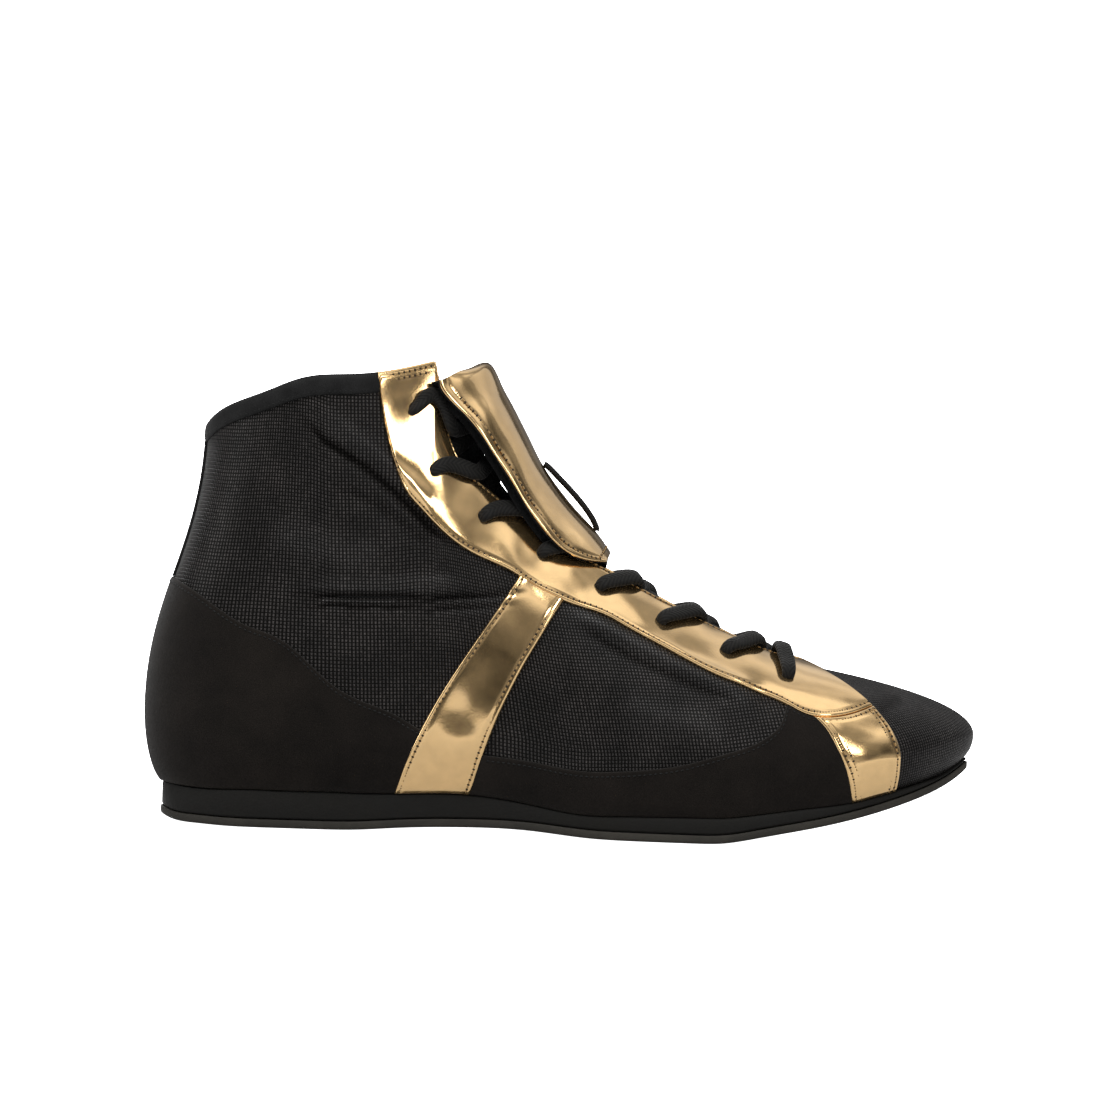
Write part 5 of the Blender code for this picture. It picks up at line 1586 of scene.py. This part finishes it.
def add_laces():
    """One lace: crossings from the top eyelets down, joined by the straight bar over the last pair."""
    first, second = half_lace("lateral", 1.0), half_lace("medial", -1.0)
    row = edge_row(*EYELET_PLACES["lateral"][-1])
    step = second[-1][0] - first[-1][0]
    bar = []
    for share in BAR_PLACES:
        point, up = over_tongue(row, share, BAR_HEIGHT)
        bar.append((point, unit(np.cross(up, step)), 1.0, 1.0))
    line, across, widths, thicknesses = smooth_sweep(first + bar + second[::-1], LACE_SPACING)
    widths, thicknesses = widths * sizes().lace_width, thicknesses * sizes().lace_thickness
    points, faces, uv = sweep(line, across, widths, thicknesses, 14)
    nodes = ["lace_bar"] + ["lace_cross_%d" % (number + 1) for number in range(len(EYELETS) - 1)]
    piece("shoe_lace", new_mesh("lace", points, faces, uv), "lace", nodes)


def even_steps(points, normals, pitch):
    """Places, directions and normals of stitches along a line, a pitch apart."""
    lengths = lengths_along(points, 0)
    count = max(2, int(lengths[-1] / pitch))
    at = (np.arange(count) + 0.5) * lengths[-1] / count
    ahead, behind = (along_line(at + step, lengths, points) for step in (pitch / 4, -pitch / 4))
    return along_line(at, lengths, points), unit(ahead - behind), unit(along_line(at, lengths, normals))


def seam(q, v, height):
    """A line of stitch places on the shoe at a height over the upper."""
    return surface(q, v, height), outward(q, v)


def stitch_tree():
    """Places a small capsule at each point, turned along the seam, and gives it its thread."""
    tree = bpy.data.node_groups.new("stitches", "GeometryNodeTree")
    face = tree.interface
    face.new_socket("Geometry", in_out="INPUT", socket_type="NodeSocketGeometry")
    for name in ("Length", "Width", "Height"):
        face.new_socket(name, in_out="INPUT", socket_type="NodeSocketFloat")
    face.new_socket("Thread", in_out="INPUT", socket_type="NodeSocketMaterial")
    face.new_socket("Geometry", in_out="OUTPUT", socket_type="NodeSocketGeometry")

    def aligned(name, axis, pivot, values):
        stored = add_node(tree, "GeometryNodeInputNamedAttribute", {"Name": name}, data_type="FLOAT_VECTOR")
        values = {"Vector": stored.outputs["Attribute"], **values}
        node = add_node(tree, "FunctionNodeAlignRotationToVector", values, axis=axis, pivot_axis=pivot)
        return node.outputs[0]

    start = tree.nodes.new("NodeGroupInput").outputs
    values = {"Segments": 8, "Rings": 5, "Radius": 0.5}
    capsule = add_node(tree, "GeometryNodeMeshUVSphere", values).outputs["Mesh"]
    sides = {"X": start["Length"], "Y": start["Width"], "Z": start["Height"]}
    size = add_node(tree, "ShaderNodeCombineXYZ", sides).outputs[0]
    shaped = add_node(tree, "GeometryNodeTransform", {"Geometry": capsule, "Scale": size}).outputs[0]
    turned = aligned("up", "Z", "X", {"Rotation": aligned("along", "X", "AUTO", {})})
    values = {"Points": start["Geometry"], "Instance": shaped, "Rotation": turned}
    placed = add_node(tree, "GeometryNodeInstanceOnPoints", values).outputs[0]
    real = add_node(tree, "GeometryNodeRealizeInstances", {0: placed}).outputs[0]
    values = {"Geometry": real, "Material": start["Thread"]}
    add_node(tree, "NodeGroupOutput", {0: add_node(tree, "GeometryNodeSetMaterial", values).outputs[0]})
    return tree


def sew(name, lines, finish, tree, length, width, height):
    """One piece of stitches along several lines."""
    places, alongs, ups = (np.concatenate(part) for part in zip(*lines))
    mesh = bpy.data.meshes.new(name)
    mesh.from_pydata((places + SHIFT).tolist(), [], [])
    for attribute, values in (("along", alongs), ("up", ups)):
        stored = mesh.attributes.new(attribute, "FLOAT_VECTOR", "POINT")
        stored.data.foreach_set("vector", values.astype(np.float32).ravel())
    holder = new_object(name, mesh)
    sewn = holder.modifiers.new("Stitches", "NODES")
    sewn.node_group = tree
    values = {"Length": length, "Width": width, "Height": height, "Thread": finish_of(finish)}
    for item in tree.interface.items_tree:
        if item.in_out == "INPUT" and item.name in values:
            sewn[item.identifier] = values[item.name]
    made = plain_copy(holder, name)
    bpy.data.objects.remove(holder, do_unlink=True)
    return piece(name, made, finish)


def row_length(side, row, v):
    """Distance from one row to the next at a row and height."""
    low, high = last(turn(side, row - 0.1), v), last(turn(side, row + 0.1), v)
    return np.linalg.norm(high - low, axis=-1) / 0.2


def row_at(edge, v):
    """The row of an edge at one height."""
    return float(edge(np.array([v]))[0])


def gold_seams():
    """Stitch lines of the eyestays, the saddle straps and the toe bands."""
    strap_back, strap_front, band_back = lines_down()
    inset = sizes().seam_inset
    top = sizes().patent - SEAM_SINK
    front = BAND_FRONT_ROW - 0.06
    lines = []
    for side in SIDES:
        q = turn(side, np.linspace(4.30, front, 500))
        lines.append(seam(q, edge_gap(q, eyestay_foot(q), -inset), top))
        q = turn(side, np.linspace(CORNER_ROW + 0.1, front, 500))
        lines.append(seam(q, below_top(q, inset), top))
        q = turn(side, np.linspace(4.2, CORNER_ROW - 0.06, 60))
        lines += [seam(q, below_top(q, inset * times), top) for times in (1, DOUBLE_SEAM)]
        v = np.linspace(0.01, 1, 200)
        for row, sign, double in (
            (strap_back[side](v), 1, False),
            (strap_front[side](v), -1, False),
            (band_back[side](v), 1, True),
            (np.full(v.shape, BAND_FRONT_ROW), -1, True),
        ):
            shift = inset / row_length(side, row, v)
            for times in (1.0, DOUBLE_SEAM) if double else (1.0,):
                q = turn(side, row + sign * shift * times)
                kept = v < edge_gap(q, FACING_FOOT(q), inset * 0.6)
                lines.append(seam(q[kept], v[kept], top))
        q = turn(side, np.linspace(row_at(band_back[side], 0.5) + 0.06, front, 60))
        lines.append(seam(q, edge_gap(q, FACING_FOOT(q), inset), top))
    return lines


def flap_seam():
    """The stitch line inside the flap's free edges."""
    tip, side = (len(FLAP_ROWS) - 1) * 0.955, 0.90
    down = np.linspace(0.2, tip, 120)
    a = np.concatenate([down, np.full(80, tip), np.linspace(tip, 0.2, 120)])
    b = np.concatenate([np.full(120, -side), np.linspace(-side, side, 80), np.full(120, side)])
    return flap(a, b) - flap_outward(a, b) * 0.00005, flap_outward(a, b)


def dark_seams():
    """Black stitch lines: suede tops and the edging's lower edge."""
    strap_back, strap_front, band_back = lines_down()
    top = sizes().suede - 0.00002
    start, end = (row_at(strap_back[side], 0.35) for side in ("medial", "lateral"))
    q = np.linspace(-start + 0.1, end - 0.1, 500)
    lines = [seam(q, edge_gap(q, COUNTER_TOP(q), SUEDE_SEAM_INSET), top)]
    for side in SIDES:
        start, end = row_at(strap_front[side], 0.15) + 0.15, row_at(band_back[side], 0.4) - 0.15
        q = turn(side, np.linspace(start, end, 400))
        lines.append(seam(q, edge_gap(q, forefoot_top(q), SUEDE_SEAM_INSET), top))
    q = np.linspace(-3.9, 3.9, 400)
    lines.append(seam(q, below_top(q, BINDING_HEIGHT - 0.0011), 0.00088))
    return lines


def add_stitches():
    tree = stitch_tree()
    size = sizes()
    pitch, length, width = size.stitch_pitch, size.stitch_length, size.stitch_width
    gold = [even_steps(*line, pitch) for line in gold_seams() + [flap_seam()]]
    sew("gold_stitches", gold, "gold_thread", tree, length, width, width * 0.9)
    # Dark marks at the needle holes between stitches: the holes, with painted shade in them
    holes = [(place + along * pitch / 2 - up * 0.00004, along, up) for place, along, up in gold]
    sew("needle_hole_shade_marks", holes, "needle_hole_shade", tree, width * 1.35, width * 1.8, 0.00038)
    dark = [even_steps(*line, pitch * 0.9) for line in dark_seams()]
    sew("black_stitches", dark, "black_thread", tree, length * 0.95, width, width * 0.8)


def look_from(elevation, roll, distance, target):
    """Place of a camera that looks along +Y from an elevation, turned about its view."""
    away = Vector((0, -math.cos(elevation), math.sin(elevation)))
    right = Vector((1, 0, 0))
    up = away.cross(right)
    turned = Matrix.Rotation(roll, 3, away)
    right, up = turned @ right, turned @ up
    axes = Matrix((right, up, away)).transposed()
    return Matrix.Translation(Vector(target) + away * distance) @ axes.to_4x4()


def soft_light(name, place, target, size, power):
    data = bpy.data.lights.new(name, "AREA")
    data.shape = "RECTANGLE"
    data.size, data.size_y = size
    data.energy = power
    lamp = new_object(name, data)
    lamp.location = place
    lamp.rotation_euler = (Vector(place) - Vector(target)).to_track_quat("Z", "Y").to_euler()


def studio_world():
    """White to the camera, and for reflections a studio that is bright high up and dim near the horizon."""
    world = bpy.data.worlds.new("studio")
    bpy.context.scene.world = world
    world.use_nodes = True
    tree = world.node_tree
    tree.nodes.clear()
    place = add_node(tree, "ShaderNodeTexCoord").outputs["Generated"]
    height = add_node(tree, "ShaderNodeSeparateXYZ", {0: place}).outputs["Z"]
    ramp = add_node(tree, "ShaderNodeValToRGB", {0: height})
    for position, value in STUDIO_RAMP:
        stop = ramp.color_ramp.elements.new(position)
        stop.color = (value, value, value, 1)
    ramp.color_ramp.elements.remove(ramp.color_ramp.elements[-1])
    values = {"Vector": place, "Scale": 2.6, "Detail": 1.0}
    patches = add_node(tree, "ShaderNodeTexNoise", values).outputs["Fac"]
    values = {"Value": patches, "From Min": 0.40, "From Max": 0.60, "To Min": 0.45, "To Max": 1.60}
    power = add_node(tree, "ShaderNodeMapRange", values).outputs["Result"]
    values = {"Color": ramp.outputs[0], "Strength": power}
    studio = add_node(tree, "ShaderNodeBackground", values).outputs[0]
    white = add_node(tree, "ShaderNodeBackground", {"Strength": 6.0}).outputs[0]
    seen = add_node(tree, "ShaderNodeLightPath").outputs["Is Camera Ray"]
    mixed = add_node(tree, "ShaderNodeMixShader", {0: seen, 1: studio, 2: white}).outputs[0]
    add_node(tree, "ShaderNodeOutputWorld", {0: mixed})


def add_stage():
    studio = bpy.context.scene.shoe_studio
    turns = np.arange(96) * 2 * math.pi / 96
    rim = [(FLOOR_RADIUS * math.cos(t), FLOOR_RADIUS * math.sin(t), -0.0002) for t in turns]
    mesh = bpy.data.meshes.new("floor")
    mesh.from_pydata(rim, [], [tuple(range(len(rim)))])
    floor = new_object("floor", mesh)
    recipe = Recipe("floor_paint", (0.45, 0.45, 0.45), 0.7, Emission_Color=(1, 1, 1, 1))
    mottled = recipe.noise(recipe.object_place(), 3.0)
    far = recipe.put("VectorMath", {0: recipe.object_place()}, operation="LENGTH").outputs["Value"]
    seen = recipe.spread(recipe.put("LightPath").outputs["Is Camera Ray"], 0.0, 1.0, 0.22, 1.3)
    glow = recipe.math("MULTIPLY", recipe.spread(far, 0.3, 1.0, 1.0, 3.0), seen)
    recipe.tree.links.new(glow, recipe.shader.inputs["Emission Strength"])
    mesh.materials.append(recipe.done(recipe.blend(mottled, (0.44, 0.44, 0.44), (0.46, 0.46, 0.46))))
    floor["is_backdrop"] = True
    data = bpy.data.cameras.new("camera")
    data.lens = studio.lens
    data.sensor_width = 36.0
    camera = new_object("camera", data)
    camera.matrix_world = look_from(studio.elevation, studio.roll, studio.distance, CAMERA_TARGET)
    bpy.context.scene.camera = camera
    studio_world()
    for name, place, target, size, share in LIGHTS:
        soft_light(name, place, target, size, studio.key * share)
    bpy.context.scene.view_settings.view_transform = "Standard"


class ShoeStep:
    """Shared by the operators, each of which builds one group of pieces."""

    def execute(self, context):
        self.build()
        return {"FINISHED"}


class SHOE_OT_sole(ShoeStep, bpy.types.Operator):
    """Outsole, side wall and sock liner"""

    bl_idname, bl_label = "shoe.sole", "Sole"
    build = staticmethod(add_sole)


class SHOE_OT_upper(ShoeStep, bpy.types.Operator):
    """Mesh upper with its creases, and its lining"""

    bl_idname, bl_label = "shoe.upper", "Upper"
    build = staticmethod(add_upper)


class SHOE_OT_collar(ShoeStep, bpy.types.Operator):
    """Padded edging round the collar"""

    bl_idname, bl_label = "shoe.collar", "Collar"
    build = staticmethod(add_collar)


class SHOE_OT_suede(ShoeStep, bpy.types.Operator):
    """Heel counter, forefoot panels and back strip"""

    bl_idname, bl_label = "shoe.suede", "Suede panels"
    build = staticmethod(add_suede)


class SHOE_OT_gold(ShoeStep, bpy.types.Operator):
    """Eyestays, saddle straps and toe bands"""

    bl_idname, bl_label = "shoe.gold", "Gold panels"
    build = staticmethod(add_gold)


class SHOE_OT_tongue(ShoeStep, bpy.types.Operator):
    """Padded tongue inside the throat"""

    bl_idname, bl_label = "shoe.tongue", "Tongue"
    build = staticmethod(add_tongue)


class SHOE_OT_flap(ShoeStep, bpy.types.Operator):
    """Folded upper end of the tongue, with its lining and loop"""

    bl_idname, bl_label = "shoe.flap", "Tongue flap"
    build = staticmethod(add_flap)


class SHOE_OT_lace(ShoeStep, bpy.types.Operator):
    """The lace through the sixteen eyelets"""

    bl_idname, bl_label = "shoe.lace", "Lace"
    build = staticmethod(add_laces)


class SHOE_OT_stitches(ShoeStep, bpy.types.Operator):
    """Stitches of the gold panels, the suede and the edging"""

    bl_idname, bl_label = "shoe.stitches", "Stitches"
    build = staticmethod(add_stitches)


class SHOE_OT_stage(ShoeStep, bpy.types.Operator):
    """Floor, studio light and camera"""

    bl_idname, bl_label = "shoe.stage", "Stage"
    build = staticmethod(add_stage)


STEPS = (
    SHOE_OT_sole, SHOE_OT_upper, SHOE_OT_collar, SHOE_OT_suede, SHOE_OT_gold,
    SHOE_OT_tongue, SHOE_OT_flap, SHOE_OT_lace, SHOE_OT_stitches, SHOE_OT_stage,
)


class SHOE_PT_panel(bpy.types.Panel):
    """Lists the shoe's steps, sizes and colours"""

    bl_idname = "SHOE_PT_panel"
    bl_label = "Wrestling shoe"
    bl_space_type = "VIEW_3D"
    bl_region_type = "UI"
    bl_category = "Shoe"

    def draw(self, context):
        for step in STEPS:
            self.layout.operator(step.bl_idname)
        for group in (context.scene.shoe_sizes, context.scene.shoe_colors, context.scene.shoe_studio):
            column = self.layout.column()
            for name in group.bl_rna.properties.keys():
                if name not in ("rna_type", "name"):
                    column.prop(group, name)


GROUPS = {"shoe_sizes": ShoeSizes, "shoe_colors": ShoeColors, "shoe_studio": ShoeStudio}


def register():
    for item in (*GROUPS.values(), *STEPS, SHOE_PT_panel):
        bpy.utils.register_class(item)
    for name, group in GROUPS.items():
        setattr(bpy.types.Scene, name, bpy.props.PointerProperty(type=group))


def unregister():
    for name in GROUPS:
        delattr(bpy.types.Scene, name)
    for item in reversed((*GROUPS.values(), *STEPS, SHOE_PT_panel)):
        bpy.utils.unregister_class(item)


def main():
    register()
    for step in STEPS:
        getattr(bpy.ops.shoe, step.bl_idname.split(".")[1])()
    low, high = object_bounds()
    sizes_found = {"cad": [list(corner) for corner in CAD_BOX], "visual": [list(low), list(high)]}


if __name__ == "__main__":
    main()
